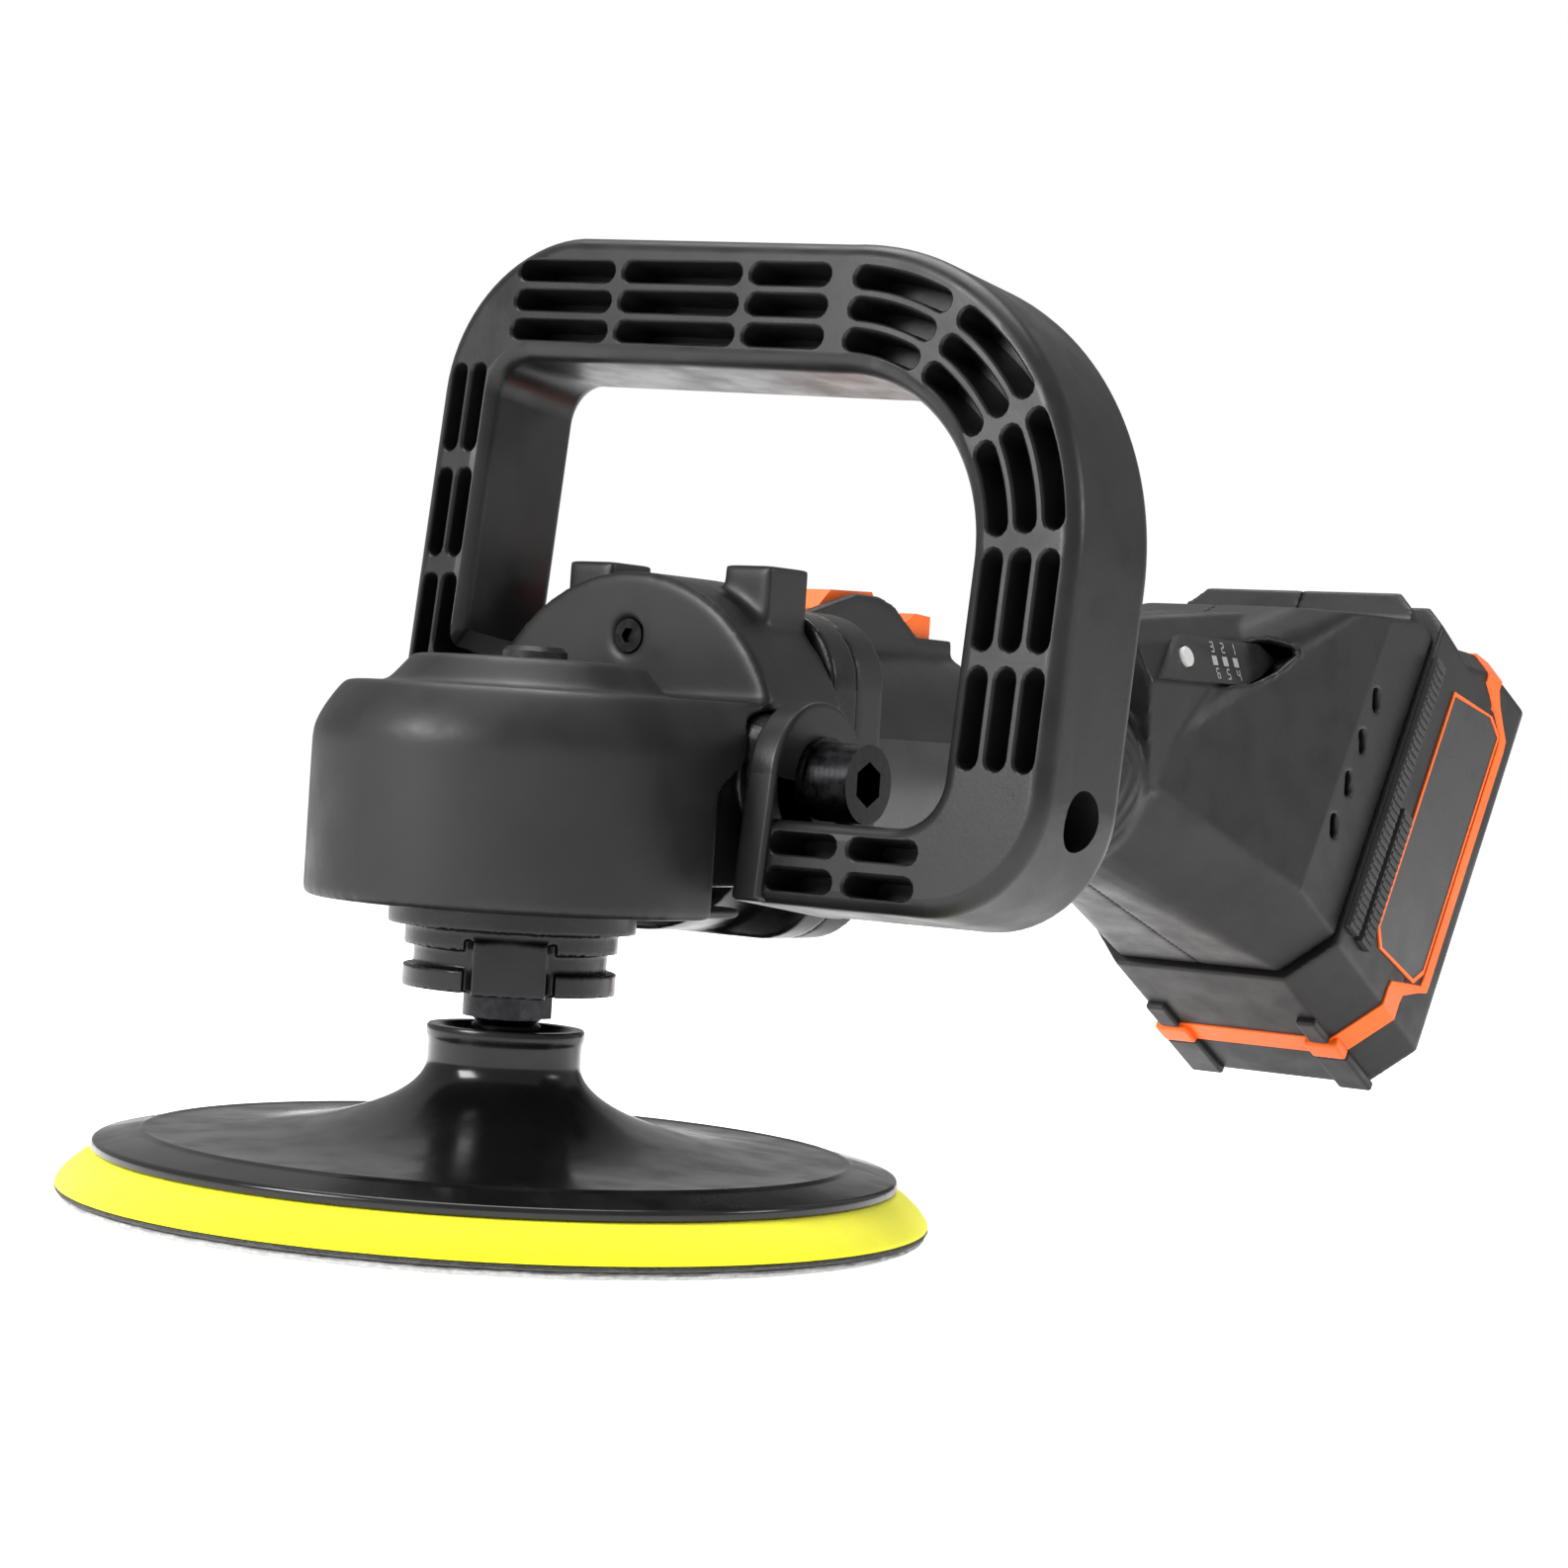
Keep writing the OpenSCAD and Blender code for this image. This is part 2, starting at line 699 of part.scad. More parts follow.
module rotor_shaft() {
    color("silver") union() {
        along_y(0, nose_end, axis_z, 3, pinion_back - nose_end + 1);
        along_y(0, pinion_back, axis_z, shaft_d / 2 - run, shaft_end - pinion_back);
    }
}

module pinion() {
    back = ring_pitch_r;
    root_out = pinion_pitch_r - dedendum * cone_up[1];
    front = back * inner_scale;
    color("gray") difference() {
        union() {
            along_y(0, front, axis_z, root_out * inner_scale, back - front + 0.3, root_out);
            along_y(0, back, axis_z, root_out, pinion_back - back);
            translate([0, 0, axis_z]) for (i = [0 : pinion_teeth - 1])
                rotate([0, 360 * i / pinion_teeth, 0])
                    bevel_tooth(-1, -dedendum - 0.5, addendum);
        }
        along_y(0, 0, axis_z, 3.02, 60);
    }
}

module rotor_core() {
    color("dimgray") translate([0, stator_y, axis_z]) rotate([-90, 0, 0]) difference() {
        union() {
            cylinder(h = stator_l, r = rotor_r - 1.6);
            for (a = [0 : 90 : 270]) rotate([0, 0, a]) intersection() {
                tube(rotor_r, rotor_r - 1.6 - eps, stator_l);
                translate([0, -rotor_r * 0.6, 0]) cube([rotor_r + 1, rotor_r * 1.2, stator_l]);
            }
        }
        translate([0, 0, -1]) cylinder(h = stator_l + 2, r = shaft_d / 2);
    }
}

module cooling_fan() {
    r = stator_r - 2;
    blades = 11;
    color("ivory") translate([0, fan_y, axis_z]) rotate([-90, 0, 0]) difference() {
        union() {
            cylinder(h = fan_h, r = 8);
            translate([0, 0, fan_h - 2]) cylinder(h = 2, r = r);
            for (i = [0 : blades - 1]) rotate([0, 0, 360 * i / blades])
                translate([7, -0.7, 0]) rotate([0, 0, 12]) cube([r - 8.5, 1.4, fan_h - 1]);
        }
        translate([0, 0, -1]) cylinder(h = fan_h + 2, r = shaft_d / 2);
    }
}

module front_bearing() {
    color("lightgray") translate([0, front_bearing_y, axis_z]) rotate([-90, 0, 0])
        ball_bearing(shaft_d / 2, bearing_r - 0.01, bearing_w);
}

module rear_bearing() {
    color("lightgray") translate([0, rear_bearing_y, axis_z]) rotate([-90, 0, 0])
        ball_bearing(shaft_d / 2, bearing_r - 0.01, bearing_w);
}

module stator() {
    slots = 6;
    color("slategray") translate([0, stator_y, axis_z]) rotate([-90, 0, 0]) difference() {
        cylinder(h = stator_l, r = stator_r);
        translate([0, 0, -1]) cylinder(h = stator_l + 2, r = rotor_r + 0.6);
        for (i = [0 : slots - 1]) rotate([0, 0, 360 * i / slots])
            translate([rotor_r + 3, -3.5, -1]) cube([stator_r - rotor_r - 7, 7, stator_l + 2]);
    }
}

// copper heads at both ends of the stator
module windings() {
    color("peru") for (y = [stator_y - winding_l, stator_end])
        translate([0, y, axis_z]) rotate([-90, 0, 0])
            tube(stator_r - 4, rotor_r + 2.5, winding_l);
}

// ---------------------------------------------------------------- housing

module pack_frame() {
    translate([0, pack_y, pack_z]) rotate([pack_tilt, 0, 0]) children();
}

// a block in the battery frame with its two front corners cut
module pack_block(half, y0, y1, z0, z1, cut) {
    translate([0, 0, z0]) linear_extrude(z1 - z0) polygon([
        [-half + cut, y0], [half - cut, y0], [half, y0 + cut], [half, y1 - cut / 2],
        [half - cut / 2, y1], [-half + cut / 2, y1], [-half, y1 - cut / 2], [-half, y0 + cut]
    ]);
}

// solid of the barrel, grip and foot, shrunk by t; the grip's core shrinks from the rubber's seat
module housing_form(t) {
    r = grip_core_r - t;
    along_y(0, joint_y, axis_z, barrel_r - t, barrel_end - joint_y);
    translate([0, barrel_end, axis_z]) rotate([grip_tilt - 90, 0, 0]) {
        translate([0, 0, -2]) cylinder(h = neck_l, r1 = barrel_r - t, r2 = r);
        cylinder(h = foot_y - barrel_end, r = r);
    }
    intersection() {
        hull() {
            along_y(0, foot_y - 2, foot_z, r, 2, $fn = 32);
            pack_frame()
                pack_block(foot_half - t, foot_front + t, foot_back - t, t, 24, foot_chamfer);
        }
        box([-60, 0, 0], [60, 460, axis_z + foot_top - t]);
    }
    hood(t);
}

// raised hood on top of the foot that carries the speed panel
module hood(t) {
    half = hood_half - t;
    top = hood_top - t - 7;
    intersection() {
        translate([0, hood_y, axis_z]) rotate([hood_rise, 0, 0])
            translate([0, t + 112, 0]) rotate([90, 0, 0]) linear_extrude(112) polygon([
                [-half, 0], [half, 0], [half, hood_low - t / 2], [half - 4, top - 3],
                [half - 11, top + 3], [-half + 11, top + 3], [-half + 4, top - 3],
                [-half, hood_low - t / 2]
            ]);
        pack_frame() box([-60, -160, t], [60, foot_back - t, 140]);
    }
}

// channel that the pack's tongue slides in, open at the upper end
module tongue_channel() {
    top = channel_top;
    pack_frame() {
        box([-tongue_half - slip, tongue_front - free, -1], [tongue_half + slip, foot_back + 9, top]);
        box([-rail_half - slip, tongue_front - free, rail_z - slip],
            [rail_half + slip, foot_back + 9, top]);
    }
}

module housing_solid() {
    floor_z = channel_top + wall;
    difference() {
        union() {
            difference() {
                union() {
                    housing_form(0);
                    flange_slab(joint_y, 10, flange_half, flange_corner);
                    switch_deck();
                }
                housing_form(wall);
                along_y(0, joint_y - 1, axis_z, stator_r + 0.2, barrel_end - joint_y);
            }
            bulkhead();
            pack_frame() pack_block(foot_half - 0.5, foot_front + 0.5, foot_back - 0.5, 1, floor_z,
                                    foot_chamfer);
            intersection() {
                housing_form(0.5);
                for (p = posts) along_x(-30, p[0], p[1], post_r, 60);
            }
        }
        tongue_channel();
        switch_slot();
        panel_pocket();
        vents();
        for (p = posts) along_x(-40, p[0], p[1], screw_r + 0.02, 40 + screw_l - screw_in + 2);
        for (x = [-1, 1], z = [-1, 1]) along_y(x * 27, joint_y - 1, axis_z + z * 27, 2.02, 20);
        for (x = [-1, 1], z = [-1, 1]) along_y(x * 27, joint_y + 5.5, axis_z + z * 27, 3.6, 20);
        pack_frame() box([-hook_half - slip, latch_y - hook_l - 0.6, -1],
                         [hook_half + slip, foot_back + 1, hook_h + 0.4]);
        pack_frame() box([-5, tongue_front + 1.5, channel_top - 1],
                         [5, tongue_front + 6, floor_z + 1]);
    }
}

// wall that carries the rear bearing
module bulkhead() {
    difference() {
        along_y(0, rear_bearing_y - 1, axis_z, barrel_r - 0.5, bearing_w + 2);
        along_y(0, rear_bearing_y - 2, axis_z, shaft_d / 2 + 2, bearing_w + 6);
        along_y(0, rear_bearing_y, axis_z, bearing_r, bearing_w);
        box([-4, rear_bearing_y - 3, rod_z - 1], [4, rear_bearing_y + bearing_w + 3, axis_z + 40]);
    }
}

// flat deck with two rounded cheeks that guard the slide switch
module switch_deck() {
    y0 = joint_y + 4;
    y1 = slider_y + slider_l + 4;
    box([-deck_half, y0, axis_z], [deck_half, y1, deck_z]);
    both_sides() translate([deck_half - cheek_t, 0, 0]) rotate([90, 0, 90])
        linear_extrude(cheek_t) polygon(concat(
            [[y0, deck_z - 2], [y1 - 12, deck_z - 2]],
            [[y1 - 14, deck_z], [y1 - 24, deck_z + 6.5], [y1 - 30, deck_z + 8.2],
             [y1 - 38, deck_z + 8.2], [y1 - 46, deck_z + 6], [y0, deck_z + 1]]
        ));
}

module switch_slot() {
    box([-3 - slip, stem_y - switch_travel - slip - 1, rod_z - 0.6],
        [3 + slip, stem_y + stem_l + slip + 1, deck_z + 20]);
}

module panel_frame() {
    translate([hood_half - 2.6, panel_y, panel_z]) rotate([0, 90 - panel_tilt, 0]) children();
}

// the speed panel's outline, local x down the face, local y along the tool
module panel_outline(grow) {
    h = panel_h / 2 + grow;
    l = panel_l / 2 + grow;
    polygon([
        [h, -l - 3], [-h, -l + 11], [-h, l + 6], [-h + 4, l + 13], [h - 3, l + 3], [h, l - 7]
    ]);
}

module panel_pocket() {
    panel_frame() {
        linear_extrude(12) panel_outline(0.1);
        translate([0, button_y - panel_y, -8]) cylinder(h = 20, r = button_r + 0.6);
    }
}

module vents() {
    both_sides() pack_frame() for (i = [0 : 3])
        translate([foot_half - wall - 3, -22 + i * 13, 18]) rotate([0, 90, 0]) rotate([0, 0, 35])
            translate([0, 0, 0]) cube([3.4, 6.5, 30], center = true);
}

module half_space(side) {
    box([side < 0 ? -80 : 0, 0, -20], [side < 0 ? 0 : 80, 460, 220]);
}

module housing_left() {
    color("black") intersection() {
        housing_solid();
        half_space(-1);
    }
}

module housing_right() {
    color("black") intersection() {
        housing_solid();
        half_space(1);
    }
}

module housing_screws() {
    color("dimgray") for (p = posts) translate([-screw_in, p[0], p[1]]) rotate([0, -90, 0])
        socket_screw(2 * screw_r, screw_l, 2 * screw_r + eps, 0.5, 1.2);
}

module grip_sleeve() {
    gap = 0.05;
    translate([0, barrel_end, axis_z]) rotate([grip_tilt - 90, 0, 0])
        translate([0, 0, neck_l]) tube(grip_r, grip_core_r + gap, foot_y - barrel_end - neck_l - 8);
}

module grip_rubber_left() {
    color("black") intersection() {
        grip_sleeve();
        half_space(-1);
    }
}

module grip_rubber_right() {
    color("black") intersection() {
        grip_sleeve();
        half_space(1);
    }
}

// plain rating labels on both sides of the barrel
module side_labels() {
    y0 = joint_y + 14;
    color("dimgray") both_sides() intersection() {
        difference() {
            along_y(0, y0, axis_z, barrel_r + 0.3, 44);
            along_y(0, y0 - 1, axis_z, barrel_r + 0.02, 50);
        }
        box([10, y0, axis_z - 11], [60, y0 + 44, axis_z + 9]);
    }
}

// ---------------------------------------------------------------- controls

module switch_slider() {
    y0 = slider_y;
    y1 = slider_y + slider_l;
    base = deck_z + 0.2;
    color("orange") union() {
        translate([-slider_half, 0, 0]) rotate([90, 0, 90]) linear_extrude(2 * slider_half)
            polygon([
                [y0, base], [y1, base], [y1, base + 5], [y1 - 6, base + 5.4],
                [y1 - 10, base + 3], [y1 - 20, base + 3], [y1 - 24, base + 9],
                [y1 - 40, base + 8.4], [y0, base + 4]
            ]);
        box([-3, stem_y, rod_z + 2.1], [3, stem_y + stem_l, base + eps]);
    }
}

module switch_rod() {
    color("gainsboro")
        box([-2.6, stem_y, rod_z], [2.6, rear_bearing_y + bearing_w + 3, rod_z + 2]);
}

module main_switch() {
    y0 = rear_bearing_y + bearing_w + 4;
    color("dimgray") {
        box([-5, y0, rod_z - 13], [5, y0 + 14, rod_z - 1.5]);
    }
}

module board_frame() {
    pack_frame() translate([0, 0, channel_top + wall + 4]) children();
}

module controller_board() {
    color("green") board_frame() {
        box([-24, -34, 0], [24, 18, 1.6]);
        for (x = [-16, -8, 0, 8, 16]) box([x - 2.6, -6, 1.6], [x + 2.6, 4, 6.2]);
        for (x = [-12, 12]) translate([x, -18, 1.6]) cylinder(h = 10, r = 5);
    }
}

module heat_sink() {
    color("silver") board_frame() {
        box([-22, 6, 6.2], [22, 16, 8]);
        for (x = [-20 : 5 : 20]) box([x - 0.7, 6, 8 - eps], [x + 0.7, 16, 14]);
    }
}

module speed_panel() {
    color("black") panel_frame() difference() {
        linear_extrude(panel_t) panel_outline(0);
        translate([0, button_y - panel_y, -1]) cylinder(h = 6, r = button_r + free);
        for (i = [0 : 2]) translate([0, led_y + led_pitch * i, panel_t - led_t / 2 + 1])
            cube([led_w + 0.1, led_w + 0.1, led_t + 2], center = true);
    }
}

module speed_leds() {
    color("white") panel_frame() for (i = [0 : 2])
        translate([-led_w / 2, led_y + led_pitch * i - led_w / 2, panel_t - led_t])
            cube([led_w, led_w, led_t]);
}

module speed_button() {
    color("lightgray") panel_frame() translate([0, button_y - panel_y, 0]) union() {
        translate([0, 0, -tact_depth + speed_travel + 0.1])
            cylinder(h = tact_depth - 2 * speed_travel, r = 1.2);
        translate([0, 0, -speed_travel]) cylinder(h = panel_t + 0.7 + speed_travel, r = button_r);
        translate([0, 0, panel_t + 0.7 - eps]) cylinder(h = 0.3, r1 = button_r, r2 = button_r - 0.3);
    }
}

module speed_tact_switch() {
    color("silver") panel_frame() translate([0, button_y - panel_y, -tact_depth - 3.4])
        translate([-3, -3, 0]) cube([6, 6, 3.4]);
}

// ---------------------------------------------------------------- battery contacts in the foot

module terminal_block() {
    color("orange") pack_frame()
        box([-17, tongue_front + 0.2, 2.4 + blade_t], [17, tongue_front + 2, channel_top - 0.1]);
}

module terminal_blades() {
    color("goldenrod") pack_frame() for (x = blade_x)
        box([x - blade_t / 2, blade_y, 3.6], [x + blade_t / 2, blade_y + blade_l, 9]);
}

// ---------------------------------------------------------------- handle

module handle_frame() {
    translate([0, bolt_y, bolt_z]) rotate([-handle_lean, 0, 0]) children();
}

module handle_outline() {
    n = 8;
    cx = leg_out - arc_out;
    cz = handle_h - arc_out;
    polygon(concat(
        [[slim_out, 8]],
        arc(slim_out + slim_arc, top_left - slim_arc, slim_arc, 180, 90, n),
        arc(cx, cz, arc_out, 90, 0, 2 * n),
        arc(leg_out - corner_low, bar_low + corner_low, corner_low, 0, -90, n),
        [[ear_x + ear_t - 2, bar_low], [ear_x + ear_t - 2, bar_high]],
        arc(leg_in - corner_in, bar_high + corner_in, corner_in, -90, 0, n),
        arc(cx, cz, arc_in, 0, 90, 2 * n),
        arc(h_in_r + 8, top_left - leg_w - 8, 8, 90, 180, n),
        [[h_in_r, 26], [-ear_x - 1, 18], [-ear_x - 1, 8]]
    ));
}

// one slot pocket, sunk from both faces, about x, z with the length along the given angle
module pocket_pair(x, z, l, w, turn = 0) {
    for (side = [-1, 1])
        translate([x, side * (handle_depth / 2 - pocket / 2 + 0.5), z]) rotate([0, turn, 0])
            cube([l, pocket + 1, w], center = true);
}

module slot_pockets() {
    row = 6.8;
    slot_w = 4;
    slim_x = (slim_out + h_in_r) / 2 - 1;
    leg_x = (leg_in + leg_out) / 2;
    top_z = handle_h - leg_w / 2;
    cx = leg_out - arc_out;
    cz = handle_h - arc_out;
    low_z = (bar_low + bar_high) / 2;
    top_cols = [[-22, 22], [9, 30], [39, 20]];
    for (c = top_cols, i = [-1 : 1])
        pocket_pair(c[0], top_z + i * row + 1.8 - c[0] * 0.04, c[1], slot_w, 2.6);
    for (s = [0, 1], i = [-1 : 1]) pocket_pair(leg_x + i * row, 15 + s * 23, 19, slot_w, 90);
    for (s = [0 : 2], i = [0 : 1])
        pocket_pair(slim_x + (i - 0.7) * row, 34 + s * 24, 20, slot_w, 90);
    for (c = [ear_x + 15, ear_x + 34], i = [-0.5, 0.5])
        pocket_pair(c, low_z + i * (row + 1), 15, slot_w, 0);
    for (s = [0 : 2], side = [0, 1]) translate([cx, 0, cz]) rotate([90, 0, 0])
        translate([0, 0, side == 0 ? handle_depth / 2 - pocket : -handle_depth / 2 - 1])
            rotate([0, 0, 8 + 28 * s]) for (i = [-1 : 1])
                rotate_extrude(angle = 22) translate([arc_in + leg_w / 2 + i * row - slot_w / 2, 0])
                    square([slot_w, pocket + 1]);
}

module d_handle() {
    color("black") handle_frame() difference() {
        union() {
            translate([0, handle_depth / 2, 0]) rotate([90, 0, 0])
                linear_extrude(handle_depth) handle_outline();
            along_x(ear_x, 0, 0, ear_r, ear_t);
            along_x(-ear_x - ear_t, 0, 0, ear_r, ear_t);
            box([ear_x, -ear_r, bar_low], [ear_x + ear_t, ear_r, 0]);
            box([-ear_x - ear_t, -handle_depth / 2, 0], [-ear_x, handle_depth / 2, 14]);
        }
        slot_pockets();
        along_x(-80, 0, 0, bolt_d / 2 + 0.4, 160);
        along_x(leg_out - 20, 0, bar_low + 22, key_hole_d / 2, 40);
        along_x(-80, 0, 0, ear_r + 2, 80 - ear_x - ear_t);
    }
}

module handle_bolts() {
    head = ear_x + ear_t + 1.6 + bolt_d;
    color("dimgray") both_sides() translate([head, bolt_y, bolt_z]) rotate([0, 90, 0])
        socket_screw(bolt_d, head - bolt_d - ear_x + bolt_in - 2, bolt_d * 1.6, bolt_d, bolt_d * 0.8);
}

module handle_washers() {
    color("dimgray") both_sides() translate([ear_x + ear_t, bolt_y, bolt_z]) rotate([0, 90, 0])
        tube(bolt_d * 0.9, bolt_d / 2 + 0.3, 1.6);
}

// ---------------------------------------------------------------- battery pack

// plan of the pack with cut corners, grown inwards by t
module pack_plan(t) {
    half = pack_w / 2 - t;
    l = pack_l / 2 - t;
    cut = pack_chamfer - t / 2;
    polygon([
        [-half + cut, -l], [half - cut, -l], [half, -l + cut], [half, l - cut / 2],
        [half - cut / 2, l], [-half + cut / 2, l], [-half, l - cut / 2], [-half, -l + cut]
    ]);
}

module pack_upper_shell() {
    half_l = pack_l / 2;
    color("black") pack_frame() difference() {
        union() {
            difference() {
                translate([0, 0, -upper_h]) linear_extrude(upper_h - seam_gap) pack_plan(0);
                translate([0, 0, -upper_h - 1]) linear_extrude(upper_h + 1 - seam_gap - pack_wall)
                    pack_plan(pack_wall);
            }
            box([-latch_half - 3, latch_y - 2.6, well_z - 6], [latch_half + 3, half_l - 1, -1]);
            box([-tongue_half, tongue_front, -1], [tongue_half, tongue_front + tongue_l, tongue_z]);
            box([-rail_half, tongue_front, rail_z], [rail_half, tongue_front + tongue_l - 6, tongue_z]);
        }
        for (x = blade_x) box([x - 1.2, tongue_front - 1, 2.6], [x + 1.2, blade_y + blade_l + 2, 20]);
        box([-18, tongue_front - 1, 1.5], [18, tongue_front + 2.4, 20]);
        box([-latch_half - slip, latch_y - slip, well_z], [latch_half + slip, half_l + 1, 1]);
        box([-hook_half - slip, latch_y - hook_l - slip, -6], [hook_half + slip, latch_y + 1, 1]);
        translate([0, latch_y + latch_l / 2, well_z - 4]) cylinder(h = 5, r = 3.2);
    }
}

module pack_band() {
    color("orange") pack_frame() difference() {
        translate([0, 0, -upper_h - band_h]) linear_extrude(band_h - 0.05) pack_plan(-0.3);
        translate([0, 0, -upper_h - band_h - 1]) linear_extrude(band_h + 2) pack_plan(pack_wall);
    }
}

module at_pack_screws() {
    for (x = [-1, 1], y = [-1, 1])
        translate([x * (pack_w / 2 - 11), y * (pack_l / 2 - 13), -pack_h]) children();
}

module pack_lower_shell() {
    color("black") pack_frame() difference() {
        union() {
            translate([0, 0, -pack_h]) difference() {
                union() {
                    linear_extrude(lower_h / 2 + eps) pack_plan(4);
                    translate([0, 0, lower_h / 2]) linear_extrude(lower_h / 2 - 0.05) pack_plan(0);
                }
                translate([0, 0, pack_wall]) linear_extrude(lower_h) pack_plan(pack_wall + 4);
            }
            at_pack_screws() translate([0, 0, 1]) cylinder(h = lower_h - 2, r = 4);
        }
        at_pack_screws() translate([0, 0, -1]) {
            cylinder(h = pack_wall + 1.3, r = 2.72);
            cylinder(h = lower_h + 2, r = 1.52);
        }
    }
}

// textured ribs along both sides under the seam
module pack_side_rails() {
    color("gray") pack_frame() both_sides() {
        box([pack_w / 2, -pack_l / 2 + 18, -6.5], [pack_w / 2 + 1.6, pack_l / 2 - 16, -0.8]);
        box([pack_w / 2, -pack_l / 2 + 18, -15], [pack_w / 2 + 1.6, 0, -9]);
    }
}

module pack_labels() {
    color("dimgray") pack_frame() both_sides()
        translate([pack_w / 2, 0, 0]) rotate([90, 0, 90]) linear_extrude(0.4) polygon([
            [-36, -23], [-32, -18.5], [41, -18.5], [47, -24], [47, -34], [41, -40.5],
            [-30, -40.5], [-36, -34]
        ]);
}

module battery_cells() {
    color("steelblue") pack_frame() for (i = [-2 : 2], z = cell_rows_z)
        along_x(-cell_l / 2, i * cell_pitch - cell_shift, z, cell_d / 2, cell_l);
}

module cell_holder() {
    color("dimgray") pack_frame() difference() {
        for (side = [-1, 1]) translate([side * 24 - 2, 0, 0])
            box([0, -2.5 * cell_pitch + 0.1, cell_rows_z[1] - cell_d / 2 + 0.1],
                [4, 2.5 * cell_pitch - 0.9, cell_rows_z[0] + cell_pitch / 2]);
        for (i = [-2 : 2], z = cell_rows_z)
            along_x(-cell_l, i * cell_pitch - cell_shift, z, cell_d / 2 + 0.1, 2 * cell_l);
    }
}

module pack_board() {
    z = cell_rows_z[0] + cell_pitch / 2 + 0.6;
    color("green") pack_frame() box([-26, -40, z], [26, 34, z + 1.6]);
}

// female contacts under the tongue's slots
module pack_contacts() {
    z = cell_rows_z[0] + cell_pitch / 2 + 2.2;
    color("goldenrod") pack_frame() for (x = blade_x)
        box([x - 2.4, blade_y + 2, z], [x + 2.4, blade_y + 14, z + 1.4]);
}

module pack_screws() {
    color("dimgray") pack_frame() at_pack_screws() translate([0, 0, 0.2]) rotate([180, 0, 0])
        socket_screw(3, lower_h - pack_wall - 2, 5.4, pack_wall, 2.4);
}

module latch_button() {
    color("orange") pack_frame()
        box([-latch_half, latch_y, latch_low], [latch_half, latch_y + latch_l, -latch_top_gap]);
}

// hook of the release button, in the notch of the foot
module latch_hook() {
    color("black") pack_frame()
        box([-hook_half, latch_y - hook_l, -2.6], [hook_half, latch_y, hook_h]);
}

module latch_spring() {
    color("silver") pack_frame() translate([0, latch_y + latch_l / 2, well_z - 4])
        coil_spring(2.3, 0.4, 4, latch_low - well_z + 4);
}

// ---------------------------------------------------------------- nodes

fleece_bonnet();
hook_layer();
foam_pad();
backing_plate();
hub_bush();
spindle();
ring_gear();
ring_gear_nut();
neck_collar();
collar_screws();
spindle_bearing();
bearing_ring();
top_bush();
gear_case();
gear_case_boot();
lock_button();
lock_pin();
lock_spring();
case_screws();
rotor_shaft();
pinion();
rotor_core();
cooling_fan();
front_bearing();
rear_bearing();
stator();
windings();
housing_left();
housing_right();
housing_screws();
grip_rubber_left();
grip_rubber_right();
side_labels();
switch_slider();
switch_rod();
main_switch();
controller_board();
heat_sink();
speed_panel();
speed_leds();
speed_button();
speed_tact_switch();
terminal_block();
terminal_blades();
d_handle();
handle_bolts();
handle_washers();
pack_upper_shell();
pack_band();
pack_lower_shell();
pack_side_rails();
pack_labels();
battery_cells();
cell_holder();
pack_board();
pack_contacts();
pack_screws();
latch_button();
latch_hook();
latch_spring();
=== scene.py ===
import json
import math

import bmesh
import bpy
from mathutils import Matrix, Vector, noise


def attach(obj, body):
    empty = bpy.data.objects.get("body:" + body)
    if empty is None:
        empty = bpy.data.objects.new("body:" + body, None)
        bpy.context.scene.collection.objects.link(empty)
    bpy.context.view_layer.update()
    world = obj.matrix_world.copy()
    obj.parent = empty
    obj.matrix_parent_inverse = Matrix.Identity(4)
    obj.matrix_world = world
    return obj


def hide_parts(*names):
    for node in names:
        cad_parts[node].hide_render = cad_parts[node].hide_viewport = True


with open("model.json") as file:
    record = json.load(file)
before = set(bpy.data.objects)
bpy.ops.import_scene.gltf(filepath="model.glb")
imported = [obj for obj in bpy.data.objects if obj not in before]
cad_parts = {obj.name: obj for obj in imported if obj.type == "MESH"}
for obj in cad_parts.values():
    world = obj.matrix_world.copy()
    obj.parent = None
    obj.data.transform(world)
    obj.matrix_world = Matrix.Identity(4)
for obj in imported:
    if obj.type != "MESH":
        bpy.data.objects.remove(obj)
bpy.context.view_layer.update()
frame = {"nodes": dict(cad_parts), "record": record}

scene = bpy.context.scene
nodes = frame["nodes"]
rad = math.radians

# ---------------------------------------------------------------- camera

def set_camera():
    """a long lens low in front and to the right, turned, tipped and rolled a little"""
    swing, down, roll = rad(36.0), rad(0.532), rad(3.656)
    ahead = Vector((-math.sin(swing) * math.cos(down), math.cos(swing) * math.cos(down),
                    -math.sin(down)))
    level = Vector((math.cos(swing), math.sin(swing), 0))
    upright = level.cross(ahead)
    right = math.cos(roll) * level + math.sin(roll) * upright
    up = -math.sin(roll) * level + math.cos(roll) * upright
    data = bpy.data.cameras.new("camera")
    data.lens, data.sensor_width = 81.7, 36.0
    data.clip_start, data.clip_end = 0.02, 60
    cam = bpy.data.objects.new("camera", data)
    cam.matrix_world = Matrix((
        (right.x, up.x, -ahead.x, 0.46456), (right.y, up.y, -ahead.y, -0.54947),
        (right.z, up.z, -ahead.z, 0.09698), (0, 0, 0, 1)))
    scene.collection.objects.link(cam)
    scene.camera = cam


set_camera()

# ---------------------------------------------------------------- shaping, in millimetres

